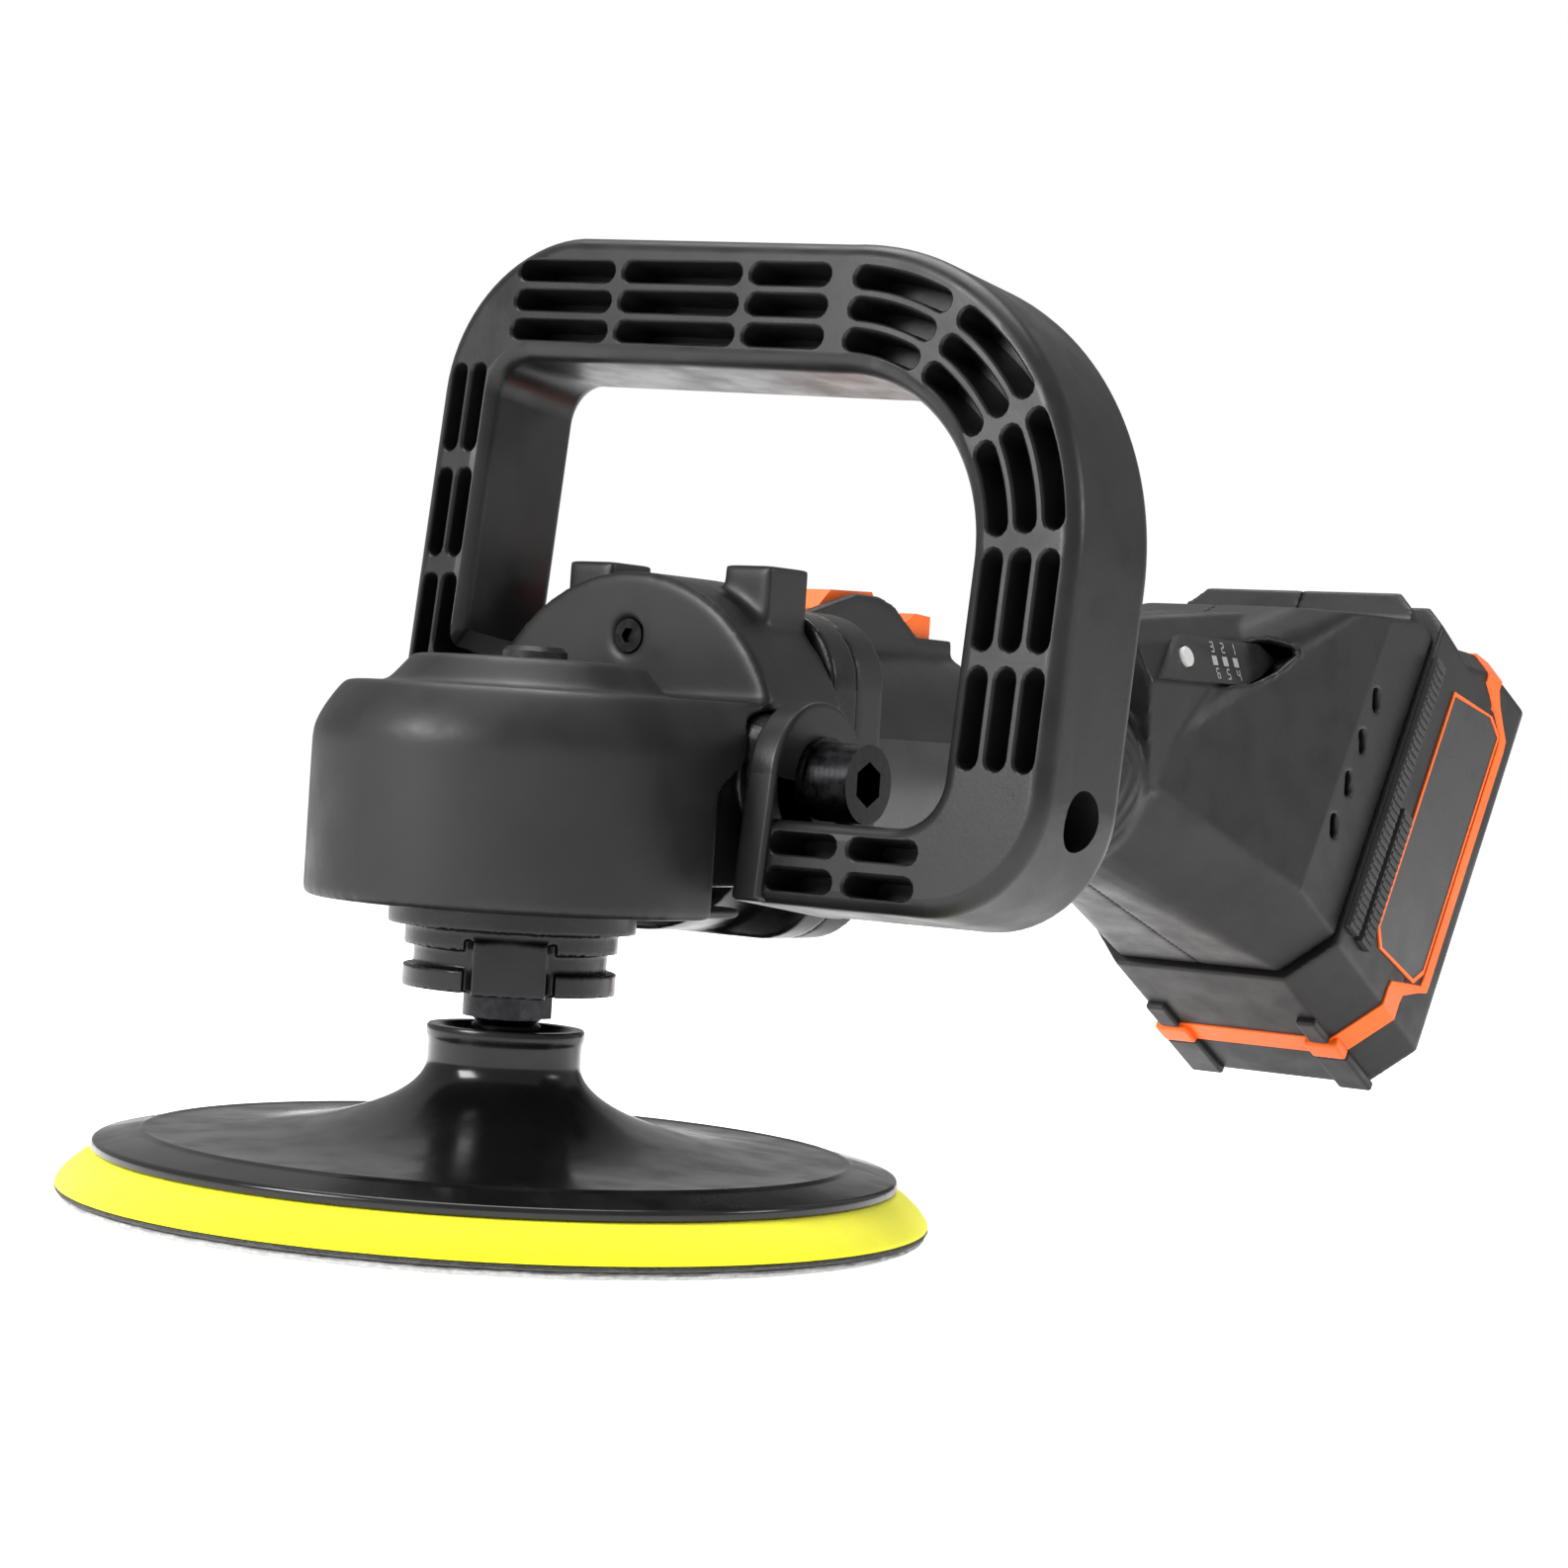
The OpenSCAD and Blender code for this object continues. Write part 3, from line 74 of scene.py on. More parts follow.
def lathe(profile, steps=160, closed=True):
    """turns a profile of (radius, height) about the spindle"""
    bm = bmesh.new()
    verts = [bm.verts.new((r, 0, z)) for r, z in profile]
    pairs = list(zip(verts, verts[1:])) + ([(verts[-1], verts[0])] if closed else [])
    edges = [bm.edges.new(p) for p in pairs]
    bmesh.ops.spin(bm, geom=verts + edges, cent=(0, 0, 0), axis=(0, 0, 1), angle=2 * math.pi,
                   steps=steps, use_merge=True)
    bmesh.ops.remove_doubles(bm, verts=bm.verts, dist=1e-4)
    bmesh.ops.recalc_face_normals(bm, faces=bm.faces)
    return bm


def slab(outline, thick, place=Matrix()):
    """thickens an outline of (x, z) along +y"""
    bm = bmesh.new()
    face = bm.faces.new([bm.verts.new((x, 0, z)) for x, z in outline])
    made = bmesh.ops.extrude_face_region(bm, geom=[face])["geom"]
    bmesh.ops.translate(bm, vec=(0, thick, 0),
                        verts=[v for v in made if isinstance(v, bmesh.types.BMVert)])
    bmesh.ops.recalc_face_normals(bm, faces=bm.faces)
    bm.transform(place)
    return bm


def block(lo, hi, place=Matrix()):
    bm = bmesh.new()
    bmesh.ops.create_cube(bm, size=1)
    lo, hi = Vector(lo), Vector(hi)
    bmesh.ops.scale(bm, vec=hi - lo, verts=bm.verts)
    bmesh.ops.translate(bm, vec=(lo + hi) / 2, verts=bm.verts)
    bm.transform(place)
    return bm


def drum(r, length, place=Matrix(), steps=64):
    """a round bar from the origin up local z"""
    bm = bmesh.new()
    bmesh.ops.create_cone(bm, cap_ends=True, segments=steps, radius1=r, radius2=r, depth=length)
    bmesh.ops.translate(bm, vec=(0, 0, length / 2), verts=bm.verts)
    bm.transform(place)
    return bm


def loft(rings, place=Matrix()):
    """a closed skin through loops of as many points, capped at both ends"""
    bm = bmesh.new()
    loops = [[bm.verts.new(co) for co in ring] for ring in rings]
    for a, b in zip(loops, loops[1:]):
        for i in range(len(a)):
            j = (i + 1) % len(a)
            bm.faces.new((a[i], a[j], b[j], b[i]))
    bm.faces.new(loops[0])
    bm.faces.new(loops[-1])
    bmesh.ops.recalc_face_normals(bm, faces=bm.faces)
    bm.transform(place)
    return bm


def arc(cx, cz, r, start, end, steps, tall=None):
    """points of an arc in degrees, of an ellipse if tall is given"""
    turns = [rad(start + (end - start) * i / steps) for i in range(steps + 1)]
    return [(cx + r * math.cos(a), cz + (tall or r) * math.sin(a)) for a in turns]


def ramp(value, start, end):
    """0 before start, 1 after end and even between"""
    return max(0.0, min(1.0, (value - start) / (end - start)))


def warped(bm, place, move):
    """moves every point by a rule written in the frame of the place"""
    back = place.inverted()
    for v in bm.verts:
        v.co = place @ Vector(move(*(back @ v.co)))
    return bm


def mirrored(make):
    """the same shape on both sides of the tool"""
    other = make()
    other.transform(Matrix.Scale(-1, 4, (1, 0, 0)))
    bmesh.ops.reverse_faces(other, faces=other.faces)
    return gather([make(), other])


def at(x, y, z):
    return Matrix.Translation((x, y, z))


def turn(degrees, axis):
    return Matrix.Rotation(rad(degrees), 4, axis)


def gather(parts):
    """one mesh of several, not fused"""
    whole = parts[0]
    for part in parts[1:]:
        mesh = bpy.data.meshes.new("work")
        part.to_mesh(mesh)
        part.free()
        whole.from_mesh(mesh)
        bpy.data.meshes.remove(mesh)
    return whole


def bench(bm):
    """puts a shape into the scene for a modifier to work on"""
    mesh = bpy.data.meshes.new("work")
    bm.to_mesh(mesh)
    bm.free()
    obj = bpy.data.objects.new("work", mesh)
    scene.collection.objects.link(obj)
    return obj


def off_bench(obj, *others):
    """the shape with its modifiers worked in, and the bench cleared"""
    mesh = bpy.data.meshes.new_from_object(obj.evaluated_get(bpy.context.evaluated_depsgraph_get()))
    bm = bmesh.new()
    bm.from_mesh(mesh)
    bpy.data.meshes.remove(mesh)
    for o in (obj, *others):
        bpy.data.meshes.remove(o.data)
    return bm


def join(bm, tool, how="DIFFERENCE"):
    body, other = bench(bm), bench(tool)
    mod = body.modifiers.new("join", "BOOLEAN")
    mod.operation, mod.solver, mod.object = how, "EXACT", other
    return off_bench(body, other)


def melt(bm, grain, rounds, keep=1.0):
    """softens every edge and corner of a closed shape, as moulded rubber and plastic have"""
    body = bench(bm)
    skin = body.modifiers.new("skin", "REMESH")
    skin.mode, skin.voxel_size = "VOXEL", grain
    soft = body.modifiers.new("soft", "SMOOTH")
    soft.factor, soft.iterations = 0.5, rounds
    if keep < 1:
        thin = body.modifiers.new("thin", "DECIMATE")
        thin.ratio = keep
    return off_bench(body)


def round_edges(bm, width, segments=2, over=50):
    """rounds the edges that turn by more than the angle"""
    bmesh.ops.remove_doubles(bm, verts=bm.verts, dist=1e-3)
    bmesh.ops.dissolve_limit(bm, angle_limit=rad(0.5), verts=bm.verts, edges=bm.edges)
    sharp = [e for e in bm.edges if len(e.link_faces) == 2 and e.calc_face_angle(0) > rad(over)]
    bmesh.ops.bevel(bm, geom=sharp, offset=width, offset_type="OFFSET", segments=segments,
                    profile=0.5, affect="EDGES", clamp_overlap=True, material=-1)
    return bm


def from_frame(node):
    """a merged copy of a frame part, in millimetres"""
    bm = bmesh.new()
    bm.from_mesh(nodes[node].data)
    bmesh.ops.scale(bm, vec=(1000, 1000, 1000), verts=bm.verts)
    bmesh.ops.remove_doubles(bm, verts=bm.verts, dist=1e-3)
    return bm


def piece(name, bm, body, material, replaces=(), smooth=40, weighted=True):
    """turns a shape in millimetres into a visible piece that rides a body"""
    bmesh.ops.scale(bm, vec=(0.001, 0.001, 0.001), verts=bm.verts)
    mesh = bpy.data.meshes.new(name)
    bm.to_mesh(mesh)
    bm.free()
    obj = bpy.data.objects.new(name, mesh)
    scene.collection.objects.link(obj)
    mesh.materials.clear()
    mesh.materials.append(material)
    mesh.shade_smooth()
    mesh.set_sharp_from_angle(angle=rad(smooth))
    if weighted:
        mod = obj.modifiers.new("even_light", "WEIGHTED_NORMAL")
        mod.keep_sharp = True
    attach(obj, body)
    if replaces:
        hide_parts(*replaces)
    return obj


# ---------------------------------------------------------------- finishes

def nodes_of(name):
    mat = bpy.data.materials.new(name)
    mat.use_nodes = True
    tree = mat.node_tree
    shader = tree.nodes["Principled BSDF"]
    place = tree.nodes.new("ShaderNodeTexCoord")
    return mat, tree, shader, place.outputs["Object"]


def speckle(tree, place, scale, detail=3.0, rough=0.55):
    tex = tree.nodes.new("ShaderNodeTexNoise")
    tex.inputs["Scale"].default_value = scale
    tex.inputs["Detail"].default_value = detail
    tex.inputs["Roughness"].default_value = rough
    tree.links.new(place, tex.inputs["Vector"])
    return tex.outputs["Fac"]


def spread(tree, value, low, high, start=0.35, end=0.65):
    """stretches the middle of a noise to run from low to high"""
    scaled = tree.nodes.new("ShaderNodeMapRange")
    scaled.inputs["From Min"].default_value, scaled.inputs["From Max"].default_value = start, end
    scaled.inputs["To Min"].default_value, scaled.inputs["To Max"].default_value = low, high
    tree.links.new(value, scaled.inputs["Value"])
    return scaled.outputs["Result"]


def tint(tree, amount, colour_a, colour_b):
    mix = tree.nodes.new("ShaderNodeMix")
    mix.data_type = "RGBA"
    mix.inputs["A"].default_value, mix.inputs["B"].default_value = (*colour_a, 1), (*colour_b, 1)
    tree.links.new(amount, mix.inputs["Factor"])
    return mix.outputs["Result"]


def relief(tree, shader, value, strength, distance, before=None):
    bump = tree.nodes.new("ShaderNodeBump")
    bump.inputs["Strength"].default_value, bump.inputs["Distance"].default_value = strength, distance
    tree.links.new(value, bump.inputs["Height"])
    if before:
        tree.links.new(before, bump.inputs["Normal"])
    tree.links.new(bump.outputs["Normal"], shader.inputs["Normal"])
    return bump.outputs["Normal"]


def moulded(name, colour, rough, texture=1400, depth=0.12, mottle=0.25, wear=0.35):
    """satin moulding: spark texture, faint blotches, handled patches and paler edges"""
    mat, tree, shader, place = nodes_of(name)
    dark = tuple(c * (1 - mottle) for c in colour)
    light = tuple(min(1, c * (1 + mottle)) for c in colour)
    base = tint(tree, spread(tree, speckle(tree, place, 38), 0, 1), dark, light)
    worn = tree.nodes.new("ShaderNodeMix")
    worn.data_type = "RGBA"
    worn.inputs["B"].default_value = (*(min(1, c * 1.5 + 0.035) for c in colour), 1)
    tree.links.new(base, worn.inputs["A"])
    edge = tree.nodes.new("ShaderNodeNewGeometry")
    tree.links.new(spread(tree, edge.outputs["Pointiness"], 0, wear, 0.52, 0.6), worn.inputs["Factor"])
    tree.links.new(worn.outputs["Result"], shader.inputs["Base Color"])
    tree.links.new(spread(tree, speckle(tree, place, 90, 4), rough - 0.06, rough + 0.08),
                   shader.inputs["Roughness"])
    shader.inputs["Specular IOR Level"].default_value = 0.36
    fine = relief(tree, shader, speckle(tree, place, texture, 2), depth, 0.0002)
    relief(tree, shader, speckle(tree, place, 160, 2), depth * 0.5, 0.0003, fine)
    return mat


def machined(name, colour, rough, stripes=2600, depth=0.05):
    """bare or blackened steel with fine turning marks"""
    mat, tree, shader, place = nodes_of(name)
    wave = tree.nodes.new("ShaderNodeTexWave")
    wave.wave_type, wave.rings_direction = "RINGS", "Z"
    wave.inputs["Scale"].default_value = stripes / 10
    wave.inputs["Distortion"].default_value = 2
    tree.links.new(place, wave.inputs["Vector"])
    tone = spread(tree, speckle(tree, place, 240, 4), 0, 1, 0.3, 0.7)
    tree.links.new(tint(tree, tone, tuple(c * 0.85 for c in colour), colour), shader.inputs["Base Color"])
    tree.links.new(spread(tree, speckle(tree, place, 500, 3), rough - 0.07, rough + 0.1),
                   shader.inputs["Roughness"])
    shader.inputs["Metallic"].default_value = 1.0
    relief(tree, shader, wave.outputs["Fac"], depth, 0.0001)
    return mat


housing_plastic = moulded("housing_black", (0.0070, 0.0070, 0.0074), 0.42)
handle_plastic = moulded("handle_black", (0.0075, 0.0075, 0.0080), 0.38, 1100, 0.10)
boot_rubber = moulded("boot_rubber", (0.0120, 0.0120, 0.0126), 0.44, 900, 0.08, 0.18)
grip_rubber = moulded("grip_rubber", (0.0085, 0.0085, 0.0090), 0.50, 1600, 0.16)
cast_black = moulded("cast_black", (0.0050, 0.0050, 0.0054), 0.30, 700, 0.10)
gloss_black = moulded("plate_black", (0.0045, 0.0045, 0.0048), 0.20, 500, 0.02, 0.15)
orange = moulded("orange_plastic", (0.95, 0.135, 0.004), 0.38, 1400, 0.06, 0.06, wear=0.1)
label_film = moulded("label_grey", (0.020, 0.019, 0.0205), 0.30, 2200, 0.05)
panel_film = moulded("panel_gloss", (0.010, 0.010, 0.0105), 0.22, 2200, 0.03)
rib_grey = moulded("rib_grey", (0.022, 0.022, 0.023), 0.60, 800, 0.35, 0.3)
key_grey = moulded("key_grey", (0.50, 0.50, 0.49), 0.45, 2000, 0.05, 0.05)
led_clear = moulded("led_clear", (0.26, 0.26, 0.27), 0.30, 2000, 0.05, 0.05)
nylon = moulded("fan_nylon", (0.62, 0.60, 0.52), 0.45, 900, 0.08, 0.08)
holder_grey = moulded("holder_grey", (0.09, 0.09, 0.09), 0.5)
cell_wrap = moulded("cell_wrap", (0.03, 0.12, 0.24), 0.32, 1500, 0.05, 0.15)
board_green = moulded("board_green", (0.01, 0.11, 0.035), 0.35, 1800, 0.1)
copper = machined("copper", (0.78, 0.33, 0.16), 0.32)
bronze = machined("bronze", (0.55, 0.36, 0.16), 0.45)
contact = machined("brass_contact", (0.78, 0.62, 0.32), 0.28)
steel = machined("steel", (0.55, 0.55, 0.56), 0.30)
oxide = machined("black_oxide", (0.028, 0.028, 0.030), 0.30)
laminations = machined("laminations", (0.24, 0.25, 0.27), 0.45, 9000, 0.4)
aluminium = machined("sink_aluminium", (0.72, 0.72, 0.74), 0.35)


def foam_finish():
    """fine open cells and faint shade differences"""
    mat, tree, shader, place = nodes_of("foam_yellow")
    cells = tree.nodes.new("ShaderNodeTexVoronoi")
    cells.inputs["Scale"].default_value = 1500
    tree.links.new(place, cells.inputs["Vector"])
    tone = spread(tree, speckle(tree, place, 60, 4), 0, 1)
    tree.links.new(tint(tree, tone, (0.90, 0.86, 0.0), (1.0, 0.95, 0.0)), shader.inputs["Base Color"])
    shader.inputs["Roughness"].default_value = 0.85
    shader.inputs["Sheen Weight"].default_value = 0.2
    relief(tree, shader, cells.outputs["Distance"], 0.35, 0.0003)
    return mat


def pile_finish(name, colour, sheen, scale):
    """napped cloth: clumped fibres, soft sheen"""
    mat, tree, shader, place = nodes_of(name)
    tone = spread(tree, speckle(tree, place, scale, 5, 0.7), 0, 1, 0.3, 0.7)
    tree.links.new(tint(tree, tone, tuple(c * 0.62 for c in colour), colour), shader.inputs["Base Color"])
    shader.inputs["Roughness"].default_value = 0.95
    shader.inputs["Sheen Weight"].default_value = sheen
    fine = relief(tree, shader, speckle(tree, place, scale * 2.2, 4, 0.8), 0.9, 0.0006)
    relief(tree, shader, speckle(tree, place, scale * 0.4, 2), 0.6, 0.0008, fine)
    return mat


foam_mat = foam_finish()
fleece_mat = pile_finish("fleece_white", (0.80, 0.80, 0.79), 0.6, 900)
loop_mat = pile_finish("hook_black", (0.030, 0.030, 0.032), 0.3, 1500)

SLOT_FINISH = {
    "fleece_white": fleece_mat, "hook_black": loop_mat, "foam_yellow": foam_mat,
    "plate_black": gloss_black, "steel": steel, "black_oxide": oxide, "cast_black": cast_black,
    "boot_rubber": boot_rubber, "grip_rubber": grip_rubber,
    "housing_black": housing_plastic, "handle_black": handle_plastic, "orange_plastic": orange,
    "panel_gloss": panel_film, "led_clear": led_clear, "key_grey": key_grey,
    "label_grey": label_film, "rib_grey": rib_grey, "copper": copper, "bronze": bronze,
    "brass_contact": contact, "laminations": laminations, "fan_nylon": nylon, "rod_nylon": nylon,
    "cell_wrap": cell_wrap, "holder_grey": holder_grey, "board_green": board_green,
    "sink_aluminium": aluminium,
}
for part in frame["record"]["subparts"]:
    mesh = nodes[part["node"]].data
    mesh.materials.clear()
    mesh.materials.append(SLOT_FINISH[part["material_slot"]])

# ---------------------------------------------------------------- pad

PAD_TRIM = 0.986  # drawn width of the pad over its width in the frame


def trimmed(bm):
    bmesh.ops.scale(bm, vec=(PAD_TRIM, PAD_TRIM, 1), verts=bm.verts)
    return bm


def ragged(bm, low_r, reach, seed):
    """pulls a cloth disc's rim in and out, a thread at a time"""
    for v in bm.verts:
        r = math.hypot(v.co.x, v.co.y)
        if r > low_r:
            n = noise.noise(Vector((v.co.x * 0.9 + seed, v.co.y * 0.9, v.co.z * 1.5)))
            n += 0.5 * noise.noise(Vector((v.co.x * 0.12, v.co.y * 0.12 + seed, 0)))
            v.co.x += v.co.x / r * n * reach
            v.co.y += v.co.y / r * n * reach
            v.co.z = max(0.05, v.co.z + n * reach * 0.35)


fleece_bm = lathe([(0, 0.1), (40, 0.1), (70, 0.12), (82, 0.15), (86.6, 0.3), (87.6, 0.7), (87.9, 1.1),
                   (87.5, 1.55), (86.5, 1.7), (80, 1.72), (40, 1.72), (0, 1.72)], 420, False)
ragged(fleece_bm, 82, 0.55, 3.1)
fleece = piece("fleece", trimmed(fleece_bm), "spindle", fleece_mat,
               ["fleece_bonnet"], 70)
loops_bm = lathe([(0, 1.82), (80, 1.82), (87.6, 1.85), (88.4, 2.1), (88.6, 2.45), (88.3, 2.85),
                  (87.6, 2.98), (80, 2.98), (0, 2.98)], 420, False)
ragged(loops_bm, 86, 0.35, 9.7)
piece("loop_layer", trimmed(loops_bm), "spindle", loop_mat, ["hook_layer"], 70)
foam = piece("foam", trimmed(lathe([
    (0, 3.02), (60, 3.02), (88.2, 3.02), (88.62, 3.12), (88.7, 3.4), (88.4, 4.1), (87.0, 5.9), (84.6, 8.0),
    (82.0, 9.6), (81.2, 9.95), (80.6, 9.98), (60, 9.98), (0, 9.98)], 200, False)),
    "spindle", foam_mat, ["foam_pad"], 50)

# ---------------------------------------------------------------- D-handle

axis_z = 92.0
bolt_y, bolt_z = 33.0, 91.3
ear_x, ear_t, ear_r = 43.5, 7.0, 16.0
hand_gap, handle_h, bar_w, leg_w, slim_leg_w = 126.5, 107.4, 26.5, 24.0, 15.0
half_depth, slot_depth, slot_w, slot_row = 15.0, 12.0, 4.2, 6.4
# slots of the top bar as (centre, length), then the length of those on each leg and on the foot
top_slots, leg_slot, slim_slot, foot_slot = ((-22, 26), (9, 31), (37, 20)), 19.5, 19, 16
leg_pitch, bend_pitch, bend_slot = 23, 28, 24.5
bolt_bore_r, key_bore_r = 5.4, 6.0
slim_arc, foot_arc, inner_corner, inner_arc = 33.0, 25.0, 8.0, 10.0
h_in = -(ear_x - 5.5)
leg_in = h_in + hand_gap
leg_out = leg_in + leg_w
slim_out = h_in - slim_leg_w
bar_low, bar_high = -26.3, -9.3
arc_in = 38.0
arc_x, arc_z = leg_in - arc_in, handle_h - bar_w - arc_in
top_left = handle_h + 3.6
handle_place = at(0, bolt_y, bolt_z) @ turn(-6.7, "X")


def handle_outline():
    """the hoop seen from the front, clockwise from the foot of its narrow leg"""
    return ([(slim_out, 8)]
            + arc(slim_out + slim_arc, top_left - slim_arc, slim_arc, 180, 90, 20)
            + arc(arc_x, arc_z, arc_in + leg_w, 90, 0, 40, arc_in + bar_w)
            + arc(leg_out - foot_arc, bar_low + foot_arc, foot_arc, 0, -90, 16)
            + [(ear_x + ear_t - 2, bar_low), (ear_x + ear_t - 2, bar_high)]
            + arc(leg_in - inner_arc, bar_high + inner_arc, inner_arc, -90, 0, 10)
            + arc(arc_x, arc_z, arc_in, 0, 90, 36)
            + arc(h_in + inner_corner, top_left - bar_w - inner_corner, inner_corner, 90, 180, 10)
            + [(h_in, 26), (-ear_x - 1, 18), (-ear_x - 1, 8)])


def handle_body():
    """the hoop, its long edges rounded more at the back than at the front"""
    bm = slab(handle_outline(), 2 * half_depth, at(0, -half_depth, 0))
    for y, width, steps in ((half_depth, 9.0, 6), (-half_depth, 3.6, 4)):
        rim = [e for e in bm.edges if all(abs(v.co.y - y) < 1e-3 for v in e.verts)]
        bmesh.ops.bevel(bm, geom=rim, offset=width, offset_type="OFFSET", segments=steps,
                        profile=0.5, affect="EDGES", clamp_overlap=True, material=-1)
    return bm


def stadium(length, width, steps=6):
    """points of a slot with round ends, (along, across), its long sides divided"""
    reach, r = length / 2 - width / 2, width / 2
    side = [reach * (1 - 2 * i / 10) for i in range(1, 10)]
    return (arc(reach, 0, r, -90, 90, steps) + [(u, r) for u in side]
            + arc(-reach, 0, r, 90, 270, steps) + [(-u, -r) for u in side])


def slot_cutter(to_face, length, width):
    """a pocket from each face whose mouth flares by a small bevel"""
    cutters = []
    for face in (-1, 1):
        rings = []
        for depth, grow in ((-1, 1.3), (0, 1.3), (0.35, 0.5), (1.0, 0), (slot_depth, -0.5)):
            y = face * (half_depth - depth)
            rings.append([(x, y, z) for x, z in
                          (to_face(u, v) for u, v in stadium(length + grow, width + grow))])
        cutters.append(loft(rings))
    return gather(cutters)


def straight(x, z, degrees):
    """places a slot's points about (x, z), turned"""
    c, s = math.cos(rad(degrees)), math.sin(rad(degrees))
    return lambda u, v: (x + u * c - v * s, z + u * s + v * c)


def round_the_bend(r, middle):
    """bends a slot's points round the corner at radius r"""
    def place(u, v):
        a = rad(middle) + u / r
        return arc_x + (r + v) * math.cos(a), arc_z + (r + v) * math.sin(a)
    return place


def handle_slots():
    """three rows along the top, the wide leg and the bend, two down the narrow leg and the foot"""
    slim_x, leg_x = (slim_out + h_in) / 2 + 1.2, (leg_in + leg_out) / 2
    top_z, low_z = handle_h - bar_w / 2, (bar_low + bar_high) / 2
    cutters = []
    for x, length in top_slots:
        for i in (-1, 0, 1):
            cutters.append(slot_cutter(straight(x, top_z + i * slot_row + 1.8 - x * 0.04, -2.6),
                                       length, slot_w))
    for s in (0, 1):
        for i in (-1, 0, 1):
            cutters.append(slot_cutter(straight(leg_x + i * slot_row, 12.5 + s * leg_pitch, 90),
                                       leg_slot, slot_w))
    for s in (0, 1, 2):
        for i in (-0.7, 0.3):
            cutters.append(slot_cutter(straight(slim_x + i * (slot_row - 1), 28 + s * leg_pitch, 90),
                                       slim_slot, slot_w - 0.6))
        for i in (-1, 0, 1):
            r = arc_in + (leg_w + bar_w) / 4 + i * slot_row
            cutters.append(slot_cutter(round_the_bend(r, 19 + bend_pitch * s), r * rad(bend_slot),
                                       slot_w))
    for x in (ear_x + 15, ear_x + 34):
        for i in (-0.5, 0.5):
            cutters.append(slot_cutter(straight(x, low_z + i * (slot_row + 0.8), 0), foot_slot, slot_w))
    return gather(cutters)


def ear_bosses():
    """the bolt bosses, and the webs that tie them to the hoop"""
    def one():
        boss = drum(ear_r, ear_t, at(ear_x, 0, 0) @ turn(90, "Y"), steps=96)
        return round_edges(boss, 1.2, 3)
    webs = gather([
        round_edges(block((ear_x, -ear_r, bar_low), (ear_x + ear_t, ear_r, 0)), 1.2, 3),
        round_edges(block((-ear_x - ear_t, -half_depth, 0), (-ear_x, half_depth, 14)), 1.2, 3)])
    return mirrored(one), webs


def build_handle():
    bm = join(handle_body(), handle_slots())
    bosses, webs = ear_bosses()
    bm = join(bm, bosses, "UNION")
    bm = join(bm, webs, "UNION")
    bores = gather([
        drum(bolt_bore_r, 160, at(-80, 0, 0) @ turn(90, "Y")),
        drum(key_bore_r, 40, at(leg_out - 20, 0, bar_low + 22) @ turn(90, "Y"))])
    bm = join(bm, bores)
    bm.transform(handle_place)
    return bm


piece("hoop", build_handle(), "tool", handle_plastic, ["d_handle"], 35)

# ---------------------------------------------------------------- gear head

# piece, node, slot, finish, grain of the remesh, rounds of softening, share of triangles kept
MOULDINGS = [
    ("boot", "gear_case_boot", "boot_rubber", boot_rubber, 0.75, 14, 0.5),
    ("shell_left", "housing_left", "housing_black", housing_plastic, 0.75, 5, 0.3),
    ("shell_right", "housing_right", "housing_black", housing_plastic, 0.75, 5, 0.3),
]


shoulder_r, shoulder_round, shoulder_drop = 42.3, 8.0, 5.4


def sloped(x, y, z):
    """rounds off the head's shoulder in front of the hump, and the case under it alike"""
    r = abs(x) if y > 0 else math.hypot(x, y)
    ease = ramp(-y, -30, -22) * ramp(z, 84, 96)
    fall = ramp(shoulder_r - r, 0, shoulder_round)
    drop = shoulder_drop * (1 - math.sqrt(1 - (1 - fall) ** 2))
    return x, y, z - drop * ease


for name, node, slot, mat, grain, rounds, keep in MOULDINGS:
    if node == "gear_case_boot":
        shape = melt(warped(melt(from_frame(node), grain, 0), Matrix(), sloped), grain, rounds)
    else:
        shape = melt(from_frame(node), grain, rounds, keep)
    piece(name, shape, "tool", mat, [node], 80, node != "gear_case_boot")

piece("collar", melt(from_frame("neck_collar"), 0.35, 3, 0.4), "tool",
      cast_black, ["neck_collar"], 50)
piece("case", warped(melt(from_frame("gear_case"), 0.7, 4, 0.4), Matrix(), sloped), "tool",
      cast_black, ["gear_case"], 50)


def plate_profile():
    """dish with a rolled rim, a raised ring line and a flare up to the hub"""
    rim_r, dish_r, dish_z, sweep_z, neck = 80.8, 70.0, 14.4, 31.0, 15.5
    flare = [(dish_r - (dish_r - neck) * math.sin(rad(a)), sweep_z - (sweep_z - dish_z) * math.cos(rad(a)))
             for a in range(3, 91, 3)]
    return ([(11, 10), (rim_r - 0.4, 10), (rim_r, 10.4), (rim_r, 11.5), (rim_r - 0.25, 12.1),
             (rim_r - 0.9, 12.35), (dish_r + 2.6, 13.95), (dish_r + 1.6, 14.1), (dish_r + 1.1, 14.55),
             (dish_r + 0.4, 14.6), (dish_r - 0.2, 14.35)] + flare
            + [(neck, 34.4), (15.7, 35.4), (16, 36.2), (16, 37.5), (15.6, 38), (13.8, 38),
               (13.3, 37.8), (11, 35)])


piece("plate", lathe(plate_profile(), 240), "spindle", gloss_black,
      ["backing_plate"], 50)

# ---------------------------------------------------------------- grip

grip_place = at(0, 134, axis_z) @ turn(2.86 - 90, "X")
grip_from, grip_to, grip_r, grip_core = 33.0, 70.0, 25.0, 23.35
rib_pitch, rib_slant, rib_h, rib_base, rib_fade = 5.2, 0.62, 0.55, 0.35, 2.5


